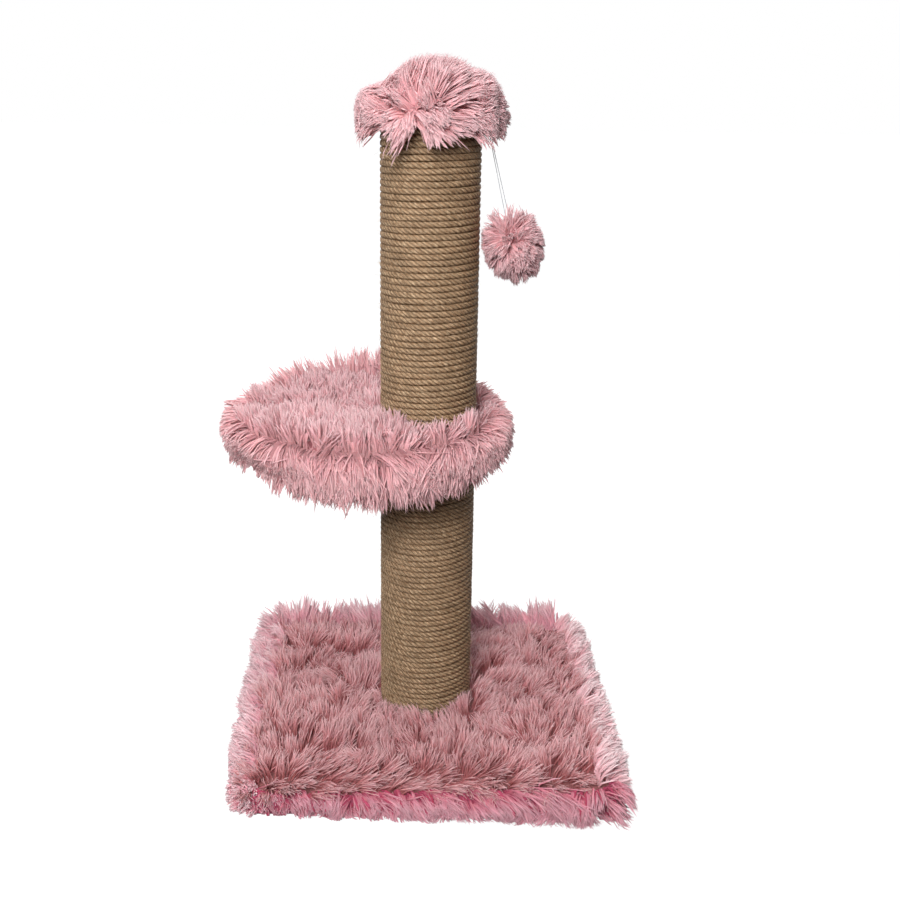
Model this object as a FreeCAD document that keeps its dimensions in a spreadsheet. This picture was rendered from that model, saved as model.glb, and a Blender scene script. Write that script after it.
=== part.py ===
import FreeCAD, Part
import math
import os
import re
import Sketcher

# Cat scratcher: a square board, two rope-wound posts with a round shelf clamped between them,
# a fur cap on top and a fur ball hanging from the cap. Millimetres, +Z up.
# The origin is on the floor, under the axis of both posts.

V = FreeCAD.Vector

# Driving sizes
SIZES = (
    ("base_side", 350, "side of the square base board"),
    ("base_thick", 16, "thickness of the base board"),
    ("base_corner", 20, "corner radius of the base board"),
    ("base_pile", 16.5, "pile of the base's top panel at its crown"),
    ("base_pile_edge", 12, "pile of the base's top panel at its edge"),
    ("base_swell", 2, "rise of the base's top panel from its shoulder to its crown"),
    ("base_crown", 60, "distance from the edge of the base's top panel to its crown"),
    ("base_band_reach", 20, "how far the pile of the base's side band stands out"),
    ("base_band_height", 34, "height of the base's side band above the floor"),
    ("base_band_round", 14, "rounding of the base's side band on top"),
    ("lining_thick", 1.5, "lining cloth, and cover cloth turned under a board"),
    ("turn_in", 30, "width of cover cloth turned under the base and the shelf"),
    ("cloth_clear", 0.2, "play between a cover and what it covers"),
    ("pressed_pile", 2, "cover cloth pressed flat under a post"),
    ("pile_round", 9, "rounding of the pile at the edge of a top panel"),
    ("pile_clear", 0.4, "play between standing pile and a post"),
    ("tube_length", 288, "length of one cardboard tube"),
    ("tube_outer", 83, "outer diameter of a cardboard tube"),
    ("tube_wall", 4, "wall of a cardboard tube"),
    ("plug_thick", 18, "thickness of a wooden end plug"),
    ("plug_clear", 0.2, "radial play of a plug in its tube"),
    ("rope_thick", 5.4, "rope diameter as wound"),
    ("rope_gap", 0.45, "gap between neighbouring turns of rope"),
    ("rope_clear", 0.15, "play between the rope and its tube"),
    ("rope_margin", 0.4, "bare tube beyond the first and last turn"),
    ("nail_thick", 1.6, "diameter of a plug nail"),
    ("nail_length", 20, "length of a plug nail"),
    ("bolt_thick", 8, "diameter of the bolts and the stud"),
    ("bolt_clear", 0.5, "diametral play of a bolt in wood and cloth"),
    ("thread_clear", 0.1, "diametral play left for a thread"),
    ("bolt_head", 14, "diameter of the base bolt's head"),
    ("bolt_head_height", 4.4, "height of the base bolt's head"),
    ("key_size", 5, "width across flats of the base bolt's socket"),
    ("key_depth", 2.6, "depth of the base bolt's socket"),
    ("washer_outer", 24, "outer diameter of the base washer"),
    ("washer_thick", 1.6, "thickness of the base washer"),
    ("recess_width", 28, "diameter of the recess for the base bolt"),
    ("recess_depth", 8, "depth of the recess for the base bolt"),
    ("thread_past", 1, "how far a bolt or stud comes out past its nut's plug"),
    ("nut_flange", 24, "flange diameter of a tee nut"),
    ("nut_flange_thick", 1.5, "flange thickness of a tee nut"),
    ("nut_barrel", 10, "barrel diameter of a tee nut"),
    ("nut_barrel_length", 12, "barrel length of a tee nut"),
    ("prong_length", 7, "length of a tee nut's prong"),
    ("prong_width", 4, "width of a tee nut's prong"),
    ("prong_thick", 1.2, "thickness of a tee nut's prong"),
    ("shelf_radius", 123, "radius of the round shelf board"),
    ("shelf_thick", 16, "thickness of the shelf board"),
    ("shelf_edge", 14, "board left between the posts and the nearest edge of the shelf"),
    ("shelf_turn", 14, "degrees by which the shelf reaches back from straight left"),
    ("shelf_pile", 20, "pile of the shelf's top panel"),
    ("rim_reach", 24, "how far the pile of the shelf's rim stands out"),
    ("rim_rise", 6, "how far the rim's pile stands above the shelf board in front"),
    ("rim_rise_back", 34, "how far the rim's pile stands above the shelf board at the back"),
    ("rim_drop", 27, "how far the rim's pile hangs below the shelf's lining in front"),
    ("rim_drop_back", 8, "how far the rim's pile hangs below the shelf's lining at the back"),
    ("rim_lip", 5, "thickness of the hanging pile inside the shelf's edge"),
    ("rim_round", 15, "rounding of the rim's pile outside"),
    ("rim_round_inner", 4, "rounding of the rim's pile inside"),
    ("cap_radius", 54, "radius of the cap's disc"),
    ("cap_thick", 10, "thickness of the cap's disc"),
    ("cap_pile", 37, "pile above the cap's disc"),
    ("cap_reach", 15, "how far the cap's pile stands out from its disc"),
    ("cap_drop", 6, "how far the cap's pile hangs below its disc"),
    ("cap_hem", 4, "gap between the cap's disc and the pile that hangs below it"),
    ("cap_round", 25, "rounding of the cap's pile on top"),
    ("cap_round_under", 6, "rounding of the cap's pile underneath"),
    ("cap_turn_in", 5, "width of cover cloth turned under the cap's disc"),
    ("cap_bolt_head", 20, "head diameter of the cap's bolt"),
    ("cap_bolt_head_height", 3.5, "head height of the cap's bolt"),
    ("staple_crown", 10, "crown of an upholstery staple"),
    ("staple_leg", 8, "leg of an upholstery staple"),
    ("staple_wire", 0.8, "wire of an upholstery staple"),
    ("toy_reach", 53, "distance of the toy's staple from the axis of the posts"),
    ("toy_drop", 5, "how far the toy's staple hangs out below the cap's cloth"),
    ("toy_crown", 9, "crown of the toy's staple"),
    ("toy_leg", 7, "how deep the toy's staple goes into the cap's disc"),
    ("toy_wire", 1, "wire of the toy's staple"),
    ("loop_radius", 1.9, "radius of the line's loop on the staple"),
    ("line_thick", 0.7, "diameter of one strand of the toy's line"),
    ("line_start", 0.9, "distance between the strands at the knot"),
    ("line_spread", 3.2, "distance between the strands at the ball"),
    ("toy_clear", 0.25, "play between the toy's own pieces"),
    ("knot_radius", 1.3, "radius of the line's knot"),
    ("hang_length", 108, "distance from the staple to the centre of the ball"),
    ("ball_radius", 31, "radius of the ball over its pile"),
    ("core_radius", 14, "radius of the ball's stuffing"),
    ("ball_clear", 0.4, "play between the ball at rest and the rope"),
    ("tie_radius", 4, "radius of the thread wound round the ball's neck"),
    ("tie_length", 11, "length of the thread wound round the ball's neck"),
)

# Counts
MOST_TURNS = 24
NAILS_PER_PLUG = 4
BASE_STAPLES_PER_SIDE = 4
SHELF_STAPLES = 12
CAP_STAPLES = 8
NUT_PRONGS = 4

doc = FreeCAD.newDocument("cat_scratcher")
sheet = doc.addObject("Spreadsheet::Sheet", "Sizes")
for row, (alias, value, meaning) in enumerate(SIZES, start=1):
    sheet.set(f"A{row}", meaning)
    sheet.set(f"B{row}", str(value))
    sheet.setAlias(f"B{row}", alias)
doc.recompute()

ALIASES = {alias for alias, value, meaning in SIZES}
pieces = []


# Expressions: a formula is text in the sheet's aliases
def bound(formula):
    """The formula with each alias tied to the sheet."""
    return re.sub(r"[a-z_]+", lambda word: f"Sizes.{word[0]}" if word[0] in ALIASES else word[0], formula)


def size(formula):
    """The formula's value now."""
    value = sheet.evalExpression(bound(formula))
    return getattr(value, "Value", value)


# Levels, from the floor up
BASE_TOP = "(lining_thick + base_thick)"
LOWER_FOOT = f"({BASE_TOP} + pressed_pile)"
LOWER_HEAD = f"({LOWER_FOOT} + tube_length)"
SHELF_UNDER = f"({LOWER_HEAD} + lining_thick)"
SHELF_TOP = f"({SHELF_UNDER} + shelf_thick)"
UPPER_FOOT = f"({SHELF_TOP} + pressed_pile)"
UPPER_HEAD = f"({UPPER_FOOT} + tube_length)"
CAP_TOP = f"({UPPER_HEAD} + cap_thick)"

# Radii and places that several pieces share
TUBE_INNER = "(tube_outer / 2 - tube_wall)"
POST_RADIUS = "(tube_outer / 2 + rope_clear + rope_thick)"
SEAT_RADIUS = f"({POST_RADIUS} + pile_clear)"
BOLT_HOLE = "(bolt_thick / 2 + bolt_clear / 2)"
SHANK = "(bolt_thick / 2)"
SHELF_OFFSET = f"(shelf_radius - {POST_RADIUS} - shelf_edge)"
SHELF_LEFT = f"({SHELF_OFFSET} * cos(shelf_turn))"
SHELF_BACK = f"({SHELF_OFFSET} * sin(shelf_turn))"
TOY_CROWN_LEVEL = f"({UPPER_HEAD} - lining_thick - toy_drop)"
TOY_LEAN = f"asin(({POST_RADIUS} + ball_clear + ball_radius - toy_reach) / hang_length)"
KNOT_CENTRE = "(loop_radius + line_thick / 2 + toy_clear + knot_radius)"


# Building blocks
def new_body(label):
    """An empty body that becomes one of the pieces."""
    body = doc.addObject("PartDesign::Body", "Body")
    body.Label = label
    pieces.append(body)
    return body


def place(item, **formulas):
    """Tie the x, y or z of a piece's place to formulas."""
    for axis, formula in formulas.items():
        item.setExpression(f"Placement.Base.{axis}", bound(formula))


def sketch_on(body, role, level="0"):
    """A sketch on one of the body's own planes, raised to a level."""
    sketch = body.newObject("Sketcher::SketchObject", "Sketch")
    plane = next(feature for feature in body.Origin.OriginFeatures if feature.Role == role)
    sketch.AttachmentSupport = [(plane, "")]
    sketch.MapMode = "FlatFace"
    sketch.setExpression("AttachmentOffset.Base.z", bound(level))
    return sketch


def fix(sketch, kind, formula, *where):
    """One dimension of a sketch, tied to a formula."""
    index = sketch.addConstraint(Sketcher.Constraint(kind, *where, size(formula)))
    sketch.setExpression(f"Constraints[{index}]", bound(formula))


def polygon(sketch, corners):
    """A closed outline whose corners are pairs of formulas."""
    points = [V(size(x), size(y), 0) for x, y in corners]
    count = len(points)
    for index in range(count):
        sketch.addGeometry(Part.LineSegment(points[index], points[(index + 1) % count]))
    for index in range(count):
        sketch.addConstraint(Sketcher.Constraint("Coincident", index, 2, (index + 1) % count, 1))
    for index, (x, y) in enumerate(corners):
        fix(sketch, "DistanceX", x, -1, 1, index, 1)
        fix(sketch, "DistanceY", y, -1, 1, index, 1)


def circle(sketch, radius, x="0", y="0"):
    """A circle about a point."""
    sketch.addGeometry(Part.Circle(V(size(x), size(y), 0), V(0, 0, 1), size(radius)))
    fix(sketch, "DistanceX", x, -1, 1, 0, 3)
    fix(sketch, "DistanceY", y, -1, 1, 0, 3)
    fix(sketch, "Radius", radius, 0)


def rounded_square(sketch, side, corner):
    """A square about the origin with rounded corners: four lines and four arcs, turn about."""
    half = size(side) / 2
    radius = size(corner)
    inner = half - radius
    for quarter in range(4):
        turn = FreeCAD.Rotation(V(0, 0, 1), 90 * quarter)
        start = turn.multVec(V(-inner, -half, 0))
        end = turn.multVec(V(inner, -half, 0))
        centre = turn.multVec(V(inner, -inner, 0))
        first = math.radians(90 * quarter - 90)
        sketch.addGeometry(Part.LineSegment(start, end))
        bend = Part.ArcOfCircle(Part.Circle(centre, V(0, 0, 1), radius), first, first + math.pi / 2)
        sketch.addGeometry(bend)
    for index in range(8):
        sketch.addConstraint(Sketcher.Constraint("Tangent", index, 2, (index + 1) % 8, 1))
    sketch.addConstraint(Sketcher.Constraint("Horizontal", 0))
    for index in (3, 5, 7):
        sketch.addConstraint(Sketcher.Constraint("Equal", 1, index))
    sketch.addConstraint(Sketcher.Constraint("Symmetric", 1, 3, 5, 3, -1, 1))
    fix(sketch, "Radius", corner, 1)
    fix(sketch, "DistanceX", f"{side} - 2 * {corner}", 5, 3, 1, 3)
    fix(sketch, "DistanceY", f"{side} - 2 * {corner}", 1, 3, 5, 3)


def feature(body, kind, sketch):
    """A feature made from a sketch, which becomes the body's tip."""
    made = body.newObject(f"PartDesign::{kind}", kind)
    made.Profile = sketch
    sketch.Visibility = False
    body.Tip = made
    return made


def turn(body, corners, kind="Revolution"):
    """Revolve an outline of (radius, level) corners about the body's Z axis, as material or as a cut."""
    sketch = sketch_on(body, "XZ_Plane")
    polygon(sketch, corners)
    made = feature(body, kind, sketch)
    made.ReferenceAxis = (sketch, ["V_Axis"])
    made.Angle = 360
    doc.recompute()


def extrude(body, sketch, length, kind="Pad", reverse=False):
    """Pad a sketch up, or pocket it down; reverse swaps the direction."""
    made = feature(body, kind, sketch)
    made.Reversed = reverse
    made.setExpression("Length", bound(length))
    doc.recompute()
    return made


def round_edges(body, radius, chosen):
    """Round the edges of the body that a test picks."""
    base = body.Tip
    names = [f"Edge{index}" for index, edge in enumerate(base.Shape.Edges, start=1) if chosen(edge)]
    made = body.newObject("PartDesign::Fillet", "Fillet")
    made.Base = (base, names)
    made.setExpression("Radius", bound(radius))
    body.Tip = made
    doc.recompute()


def at_level(level):
    """A test for edges that lie wholly at a level."""
    height = size(level)
    return lambda edge: abs(edge.BoundBox.ZMin - height) + abs(edge.BoundBox.ZMax - height) < 0.01


def on_ring(radius, level):
    """A test for round edges of a radius at a level."""
    flat = at_level(level)
    reach = size(radius)
    return lambda edge: flat(edge) and abs(edge.BoundBox.XMax - reach) < 0.01


def ring(label, inner, outer, bottom, top):
    """A round piece with square edges; an inner radius of 0 leaves no hole."""
    body = new_body(label)
    turn(body, [(inner, bottom), (outer, bottom), (outer, top), (inner, top)])
    return body


def group(label, shapes):
    """Loose solids that share one node."""
    item = doc.addObject("Part::Feature", label)
    item.Label = label
    item.Shape = Part.makeCompound(shapes)
    pieces.append(item)


def staple(crown, leg, wire):
    """A staple with its crown along X at level 0 and its legs up."""
    across = Part.makeBox(crown, wire, wire, V(-crown / 2, -wire / 2, 0))
    for side in (-crown / 2, crown / 2 - wire):
        across = across.fuse(Part.makeBox(wire, wire, leg, V(side, -wire / 2, 0)))
    return across.removeSplitter()


def cloth_staple(place_on_cloth, heading):
    """An upholstery staple, turned by a heading, its crown pressed into cloth at a point."""
    made = staple(size("staple_crown"), size("staple_leg"), size("staple_wire"))
    sunk = (size("lining_thick") - size("staple_wire")) / 2
    made.Placement = FreeCAD.Placement(place_on_cloth + V(0, 0, sunk), FreeCAD.Rotation(V(0, 0, 1), heading))
    return made


def ring_of_staples(label, count, centre, radius):
    """Staples set round a circle, along it."""
    shapes = []
    for index in range(count):
        heading = 360 * (index + 0.5) / count
        reach = FreeCAD.Rotation(V(0, 0, 1), heading).multVec(V(radius, 0, 0))
        shapes.append(cloth_staple(centre + reach, heading + 90))
    group(label, shapes)


# Rope winding
def arc_from(start, bend, end):
    """The arc from start to end that is tangent to the lines through the bend point."""
    middle = (start + end) / 2
    half_turn = math.atan2((bend - middle).Length, (end - middle).Length)
    crown = middle + (bend - middle) * (math.tan(half_turn / 2) / math.tan(half_turn))
    return Part.Arc(start, crown, end).toShape()


def biarc(start, start_way, end, end_way):
    """Two arcs that share a tangent where they meet and leave along the ways given."""
    chord = end - start
    ways = start_way + end_way
    spread = 2 * (1 - start_way.dot(end_way))
    along = chord.dot(ways)
    reach = (math.sqrt(along * along + spread * chord.dot(chord)) - along) / spread
    first_bend = start + start_way * reach
    last_bend = end - end_way * reach
    meeting = (first_bend + last_bend) / 2
    return [arc_from(start, first_bend, meeting), arc_from(meeting, last_bend, end)]


def least_gap(wire, turn_length):
    """The least gap between a tube and itself, on points along its path, at least half a turn apart."""
    per_turn = 72
    points = wire.discretize(int(wire.Length / turn_length * per_turn))
    nearest = turn_length
    for index, point in enumerate(points):
        for other in points[index + per_turn // 2: index + 2 * per_turn]:
            nearest = min(nearest, (point - other).Length)
    return nearest - size("rope_thick")


def winding(label, foot, first, last):
    """One length of rope, wound between two angles of the post's helix, with straight ends."""
    radius = size("tube_outer / 2 + rope_clear + rope_thick / 2")
    thick = size("rope_thick")
    climb = size("rope_thick + rope_gap") / (2 * math.pi)
    lowest = size(f"{foot} + rope_margin + rope_thick / 2")

    def point(angle):
        return V(radius * math.cos(angle), radius * math.sin(angle), lowest + climb * (angle - math.pi / 2))

    def way(angle):
        return V(-radius * math.sin(angle), radius * math.cos(angle), climb).normalize()

    count = math.ceil((last - first) / math.pi)
    stops = [first + (last - first) * index / count for index in range(count + 1)]
    start = point(first) - way(first) * thick
    end = point(last) + way(last) * thick
    edges = [Part.LineSegment(start, point(first)).toShape()]
    for one, other in zip(stops, stops[1:]):
        edges += biarc(point(one), way(one), point(other), way(other))
    edges.append(Part.LineSegment(point(last), end).toShape())
    path = Part.Wire(edges)
    section = Part.Wire(Part.makeCircle(thick / 2, start, way(first)))
    tube = path.makePipeShell([section], True, False)
    tube = Part.Solid(tube) if tube.ShapeType == "Shell" else tube
    turns = (last - first) / (2 * math.pi)
    share = tube.Volume / (math.pi * thick * thick / 4 * path.Length)
    gap = least_gap(path, 2 * math.pi * radius)
    print(f"{label}: {turns:.2f} turns, volume {share:.4f} of expected, least gap to itself {gap:.2f} mm")
    group(label, tube.Solids)


def rope(name, foot):
    """A post's rope: lengths of at most 24 turns in one lane, butted at the back of the post."""
    room = size("tube_length - 2 * rope_margin - rope_thick")
    turns = math.floor(2 * room / size("rope_thick + rope_gap")) / 2
    lengths = math.ceil(turns / MOST_TURNS)
    end_run = size("rope_thick + rope_gap") / size("tube_outer / 2 + rope_clear + rope_thick / 2")
    for index in range(lengths):
        first = math.pi / 2 + 2 * math.pi * turns * index / lengths
        last = math.pi / 2 + 2 * math.pi * turns * (index + 1) / lengths
        winding(f"{name}_rope_{index + 1}", foot, first + end_run, last - end_run)


# Post
def tee_nut(label, level, head_down):
    """A tee nut whose flange seats at a level, inside the tube; prongs and barrel go into the plug."""
    body = new_body(label)
    bore = "bolt_thick / 2 + thread_clear / 2"
    turn(body, [
        (bore, "nut_flange_thick"), ("nut_flange / 2", "nut_flange_thick"), ("nut_flange / 2", "0"),
        ("nut_barrel / 2", "0"), ("nut_barrel / 2", "-nut_barrel_length"), (bore, "-nut_barrel_length"),
    ])
    sketch = sketch_on(body, "XY_Plane")
    outer = "nut_flange / 2 - prong_thick / 2"
    inner = f"{outer} - prong_thick"
    edge = "prong_width / 2"
    polygon(sketch, [(inner, f"-{edge}"), (outer, f"-{edge}"), (outer, edge), (inner, edge)])
    prong = extrude(body, sketch, "prong_length", reverse=True)
    pattern = body.newObject("PartDesign::PolarPattern", "Prongs")
    pattern.Originals = [prong]
    pattern.Axis = (next(axis for axis in body.Origin.OriginFeatures if axis.Role == "Z_Axis"), [""])
    pattern.Angle = 360
    pattern.Occurrences = NUT_PRONGS
    body.Tip = pattern
    body.Placement = FreeCAD.Placement(V(), FreeCAD.Rotation(V(1, 0, 0), 180 if head_down else 0))
    place(body, z=level)
    doc.recompute()


def plug_nails(name, foot):
    """Nails driven through the tube into both plugs, flush with the tube."""
    shapes = []
    radius = size("tube_outer / 2")
    for level in (f"{foot} + plug_thick / 2", f"{foot} + tube_length - plug_thick / 2"):
        for index in range(NAILS_PER_PLUG):
            outward = FreeCAD.Rotation(V(0, 0, 1), 360 * (index + 0.5) / NAILS_PER_PLUG).multVec(V(1, 0, 0))
            start = outward * radius + V(0, 0, size(level))
            shapes.append(Part.makeCylinder(size("nail_thick / 2"), size("nail_length"), start, -outward))
    group(f"{name}_plug_nails", shapes)


def post(name, foot):
    """A cardboard tube with plugged ends, a tee nut in each plug, and its rope."""
    head = f"({foot} + tube_length)"
    bottom_seat = f"({foot} + plug_thick)"
    top_seat = f"({head} - plug_thick)"
    plug_outer = f"{TUBE_INNER} - plug_clear"
    plug_hole = "nut_barrel / 2 + plug_clear"
    ring(f"{name}_tube", TUBE_INNER, "tube_outer / 2", foot, head)
    ring(f"{name}_bottom_plug", plug_hole, plug_outer, foot, bottom_seat)
    ring(f"{name}_top_plug", plug_hole, plug_outer, top_seat, head)
    tee_nut(f"{name}_bottom_tee_nut", bottom_seat, head_down=False)
    tee_nut(f"{name}_top_tee_nut", top_seat, head_down=True)
    plug_nails(name, foot)
    rope(name, foot)


# Base
def base_board():
    """The board, with a stepped hole for the bolt from below."""
    body = new_body("base_board")
    sketch = sketch_on(body, "XY_Plane", "lining_thick")
    rounded_square(sketch, "base_side", "base_corner")
    extrude(body, sketch, "base_thick")
    recess_top = "(lining_thick + recess_depth)"
    turn(body, [
        ("0", "lining_thick"), ("recess_width / 2", "lining_thick"), ("recess_width / 2", recess_top),
        (BOLT_HOLE, recess_top), (BOLT_HOLE, BASE_TOP), ("0", BASE_TOP),
    ], kind="Groove")


def base_top_cover():
    """The fur panel on the board: crowned, pressed flat under the post and standing round it."""
    body = new_body("base_top_cover")
    top = f"({BASE_TOP} + base_pile)"
    sections = []
    for level, inset in (
        (BASE_TOP, "0"), (f"({BASE_TOP} + base_pile_edge)", "0"), (f"({top} - base_swell)", "pile_round"),
        (top, "base_crown"),
    ):
        sketch = sketch_on(body, "XY_Plane", level)
        rounded_square(sketch, f"(base_side - 2 * {inset})", "base_corner")
        sections.append(sketch)
    loft = feature(body, "AdditiveLoft", sections[0])
    loft.Sections = sections[1:]
    loft.Ruled = True
    doc.recompute()
    turn(body, [
        ("0", BASE_TOP), (BOLT_HOLE, BASE_TOP), (BOLT_HOLE, LOWER_FOOT), (SEAT_RADIUS, LOWER_FOOT),
        (SEAT_RADIUS, top), ("0", top),
    ], kind="Groove")


def base_side_cover():
    """The fur band round the board's edge, turned in underneath."""
    body = new_body("base_side_cover")
    sketch = sketch_on(body, "XY_Plane")
    rounded_square(sketch, "(base_side + 2 * base_band_reach)", "(base_corner + base_band_reach)")
    extrude(body, sketch, "base_band_height")
    round_edges(body, "base_band_round", at_level("base_band_height"))
    inside = sketch_on(body, "XY_Plane", "base_band_height")
    rounded_square(inside, "(base_side + 2 * cloth_clear)", "(base_corner + cloth_clear)")
    extrude(body, inside, "base_band_height - lining_thick", kind="Pocket")
    under = sketch_on(body, "XY_Plane", "lining_thick")
    rounded_square(under, "(base_side - 2 * turn_in)", "base_corner")
    extrude(body, under, "lining_thick", kind="Pocket")


def base_lining():
    """The lining cloth underneath, inside the turned-in band."""
    body = new_body("base_lining")
    sketch = sketch_on(body, "XY_Plane")
    rounded_square(sketch, "(base_side - 2 * turn_in - 2 * cloth_clear)", "(base_corner - cloth_clear)")
    extrude(body, sketch, "lining_thick")


def base_staples():
    """Staples through the turned-in band, along all four sides."""
    shapes = []
    line = size("base_side / 2 - turn_in / 2")
    step = size("base_side - 2 * turn_in") / BASE_STAPLES_PER_SIDE
    for side in range(4):
        heading = FreeCAD.Rotation(V(0, 0, 1), 90 * side)
        for index in range(BASE_STAPLES_PER_SIDE):
            along = step * (index - (BASE_STAPLES_PER_SIDE - 1) / 2)
            shapes.append(cloth_staple(heading.multVec(V(along, -line, 0)), 90 * side))
    group("base_staples", shapes)


def base_bolt():
    """The socket-head bolt that holds the lower post, and its washer."""
    washer_top = "(lining_thick + recess_depth)"
    head_top = f"({washer_top} - washer_thick)"
    head_under = f"({head_top} - bolt_head_height)"
    tip = f"({LOWER_FOOT} + plug_thick + thread_past)"
    body = new_body("base_bolt")
    turn(body, [
        ("0", head_under), ("bolt_head / 2", head_under), ("bolt_head / 2", head_top), (SHANK, head_top),
        (SHANK, tip), ("0", tip),
    ])
    socket = sketch_on(body, "XY_Plane", head_under)
    corner = "key_size / sqrt(3)"
    half = f"{corner} / 2"
    flat = "key_size / 2"
    polygon(socket, [
        (corner, "0"), (half, flat), (f"-{half}", flat),
        (f"-{corner}", "0"), (f"-{half}", f"-{flat}"), (half, f"-{flat}"),
    ])
    extrude(body, socket, "key_depth", kind="Pocket", reverse=True)
    ring("base_washer", BOLT_HOLE, "washer_outer / 2", head_top, washer_top)


# Shelf
def shelf_hole(body, radius, top, depth):
    """Cut a round hole down from a level, on the axis of the posts."""
    sketch = sketch_on(body, "XY_Plane", top)
    circle(sketch, radius, SHELF_LEFT, f"-{SHELF_BACK}")
    extrude(body, sketch, depth, kind="Pocket")


def shelf_place(body):
    """Set a piece of the shelf at the shelf's centre."""
    place(body, x=f"-{SHELF_LEFT}", y=SHELF_BACK)


def shelf_board():
    """The round board, off centre on the posts."""
    body = ring("shelf_board", "0", "shelf_radius", SHELF_UNDER, SHELF_TOP)
    shelf_hole(body, BOLT_HOLE, SHELF_TOP, "shelf_thick")
    shelf_place(body)


def shelf_top_cover():
    """The fur panel on the shelf: pressed flat under the upper post, standing round it."""
    top = f"({SHELF_TOP} + shelf_pile)"
    body = ring("shelf_top_cover", "0", "shelf_radius", SHELF_TOP, top)
    round_edges(body, "pile_round", on_ring("shelf_radius", top))
    shelf_hole(body, SEAT_RADIUS, top, "shelf_pile - pressed_pile")
    shelf_hole(body, BOLT_HOLE, UPPER_FOOT, "pressed_pile")
    shelf_place(body)


def slope_cut(body, reach, front, back, end):
    """Cut away all between a level, end, and a slope that runs from front to back across a round piece."""
    sketch = sketch_on(body, "YZ_Plane", f"2 * {reach}")
    half = f"({back} - {front}) / 2"
    polygon(sketch, [
        (f"-2 * {reach}", f"{front} - {half}"), (f"2 * {reach}", f"{back} + {half}"),
        (f"2 * {reach}", end), (f"-2 * {reach}", end),
    ])
    extrude(body, sketch, f"4 * {reach}", kind="Pocket")


def on_slope(radius, reach, front, back):
    """A test for the round edge of a radius on such a slope."""
    middle = size(f"({front} + {back}) / 2")
    rise = size(f"({back} - {front}) / 2 * {radius} / {reach}")
    return lambda edge: abs(edge.BoundBox.ZMin - middle + rise) + abs(edge.BoundBox.ZMax - middle - rise) < 0.2


def shelf_side_cover():
    """The fur rim round the shelf's edge: it falls in front, stands up at the back, and is turned in below."""
    inside = "(shelf_radius + cloth_clear)"
    outside = "(shelf_radius + rim_reach)"
    lip = "(shelf_radius - rim_lip)"
    turned = "(shelf_radius - turn_in)"
    top = (f"({SHELF_TOP} + rim_rise)", f"({SHELF_TOP} + rim_rise_back)")
    bottom = (f"({LOWER_HEAD} - rim_drop)", f"({LOWER_HEAD} - rim_drop_back)")
    high = f"({SHELF_TOP} + 2 * rim_rise_back)"
    low = f"({LOWER_HEAD} - 2 * rim_drop)"
    body = new_body("shelf_side_cover")
    turn(body, [
        (turned, SHELF_UNDER), (inside, SHELF_UNDER), (inside, high), (outside, high), (outside, low),
        (lip, low), (lip, LOWER_HEAD), (turned, LOWER_HEAD),
    ])
    slope_cut(body, outside, *top, f"2 * {high}")
    slope_cut(body, outside, *bottom, "0")
    round_edges(body, "rim_round", on_slope(outside, outside, *top))
    round_edges(body, "rim_round", on_slope(outside, outside, *bottom))
    round_edges(body, "rim_round_inner", on_slope(inside, outside, *top))
    round_edges(body, "rim_round_inner", on_slope(lip, outside, *bottom))
    shelf_place(body)


def shelf_lining():
    """The lining cloth under the shelf, inside the turned-in rim."""
    body = ring("shelf_lining", "0", "shelf_radius - turn_in - cloth_clear", LOWER_HEAD, SHELF_UNDER)
    shelf_hole(body, BOLT_HOLE, SHELF_UNDER, "lining_thick")
    shelf_place(body)


def shelf_staples():
    """Staples through the turned-in rim."""
    centre = V(-size(SHELF_LEFT), size(SHELF_BACK), size(LOWER_HEAD))
    ring_of_staples("shelf_staples", SHELF_STAPLES, centre, size("shelf_radius - turn_in / 2"))


def joining_stud():
    """The threaded stud through the shelf, from the lower post's nut to the upper one's."""
    ring("joining_stud", "0", SHANK, f"{LOWER_HEAD} - plug_thick - thread_past",
         f"{UPPER_FOOT} + plug_thick + thread_past")


# Cap
def cap_disc():
    """The disc on the upper post, with a stepped hole for its bolt."""
    seat = f"({CAP_TOP} - cap_bolt_head_height)"
    head = "cap_bolt_head / 2 + bolt_clear / 2"
    body = new_body("cap_disc")
    turn(body, [
        (BOLT_HOLE, UPPER_HEAD), ("cap_radius", UPPER_HEAD), ("cap_radius", CAP_TOP), (head, CAP_TOP),
        (head, seat), (BOLT_HOLE, seat),
    ])


def cap_bolt():
    """The flat-headed bolt that holds the disc to the upper post, under the fur."""
    seat = f"({CAP_TOP} - cap_bolt_head_height)"
    tip = f"({UPPER_HEAD} - plug_thick - thread_past)"
    body = new_body("cap_bolt")
    turn(body, [
        ("0", tip), (SHANK, tip), (SHANK, seat), ("cap_bolt_head / 2", seat), ("cap_bolt_head / 2", CAP_TOP),
        ("0", CAP_TOP),
    ])


def cap_cover():
    """The fur over the disc, turned in underneath, its pile hanging a little below the disc."""
    inside = "(cap_radius + cloth_clear)"
    outside = "(cap_radius + cap_reach)"
    cover_under = f"({UPPER_HEAD} - lining_thick)"
    hem = f"({UPPER_HEAD} - cap_drop)"
    hem_inside = "(cap_radius + cap_hem)"
    top = f"({CAP_TOP} + cap_pile)"
    body = new_body("cap_cover")
    turned = "(cap_radius - cap_turn_in)"
    turn(body, [
        ("0", CAP_TOP), (inside, CAP_TOP), (inside, UPPER_HEAD), (turned, UPPER_HEAD), (turned, cover_under),
        (hem_inside, cover_under), (hem_inside, hem), (outside, hem), (outside, top), ("0", top),
    ])
    round_edges(body, "cap_round", on_ring(outside, top))
    round_edges(body, "cap_round_under", on_ring(outside, hem))


def cap_staples():
    """Staples through the turned-in cover of the cap."""
    centre = V(0, 0, size(UPPER_HEAD) - size("lining_thick"))
    ring_of_staples("cap_staples", CAP_STAPLES, centre, size("cap_radius - cap_turn_in / 2"))


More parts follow.
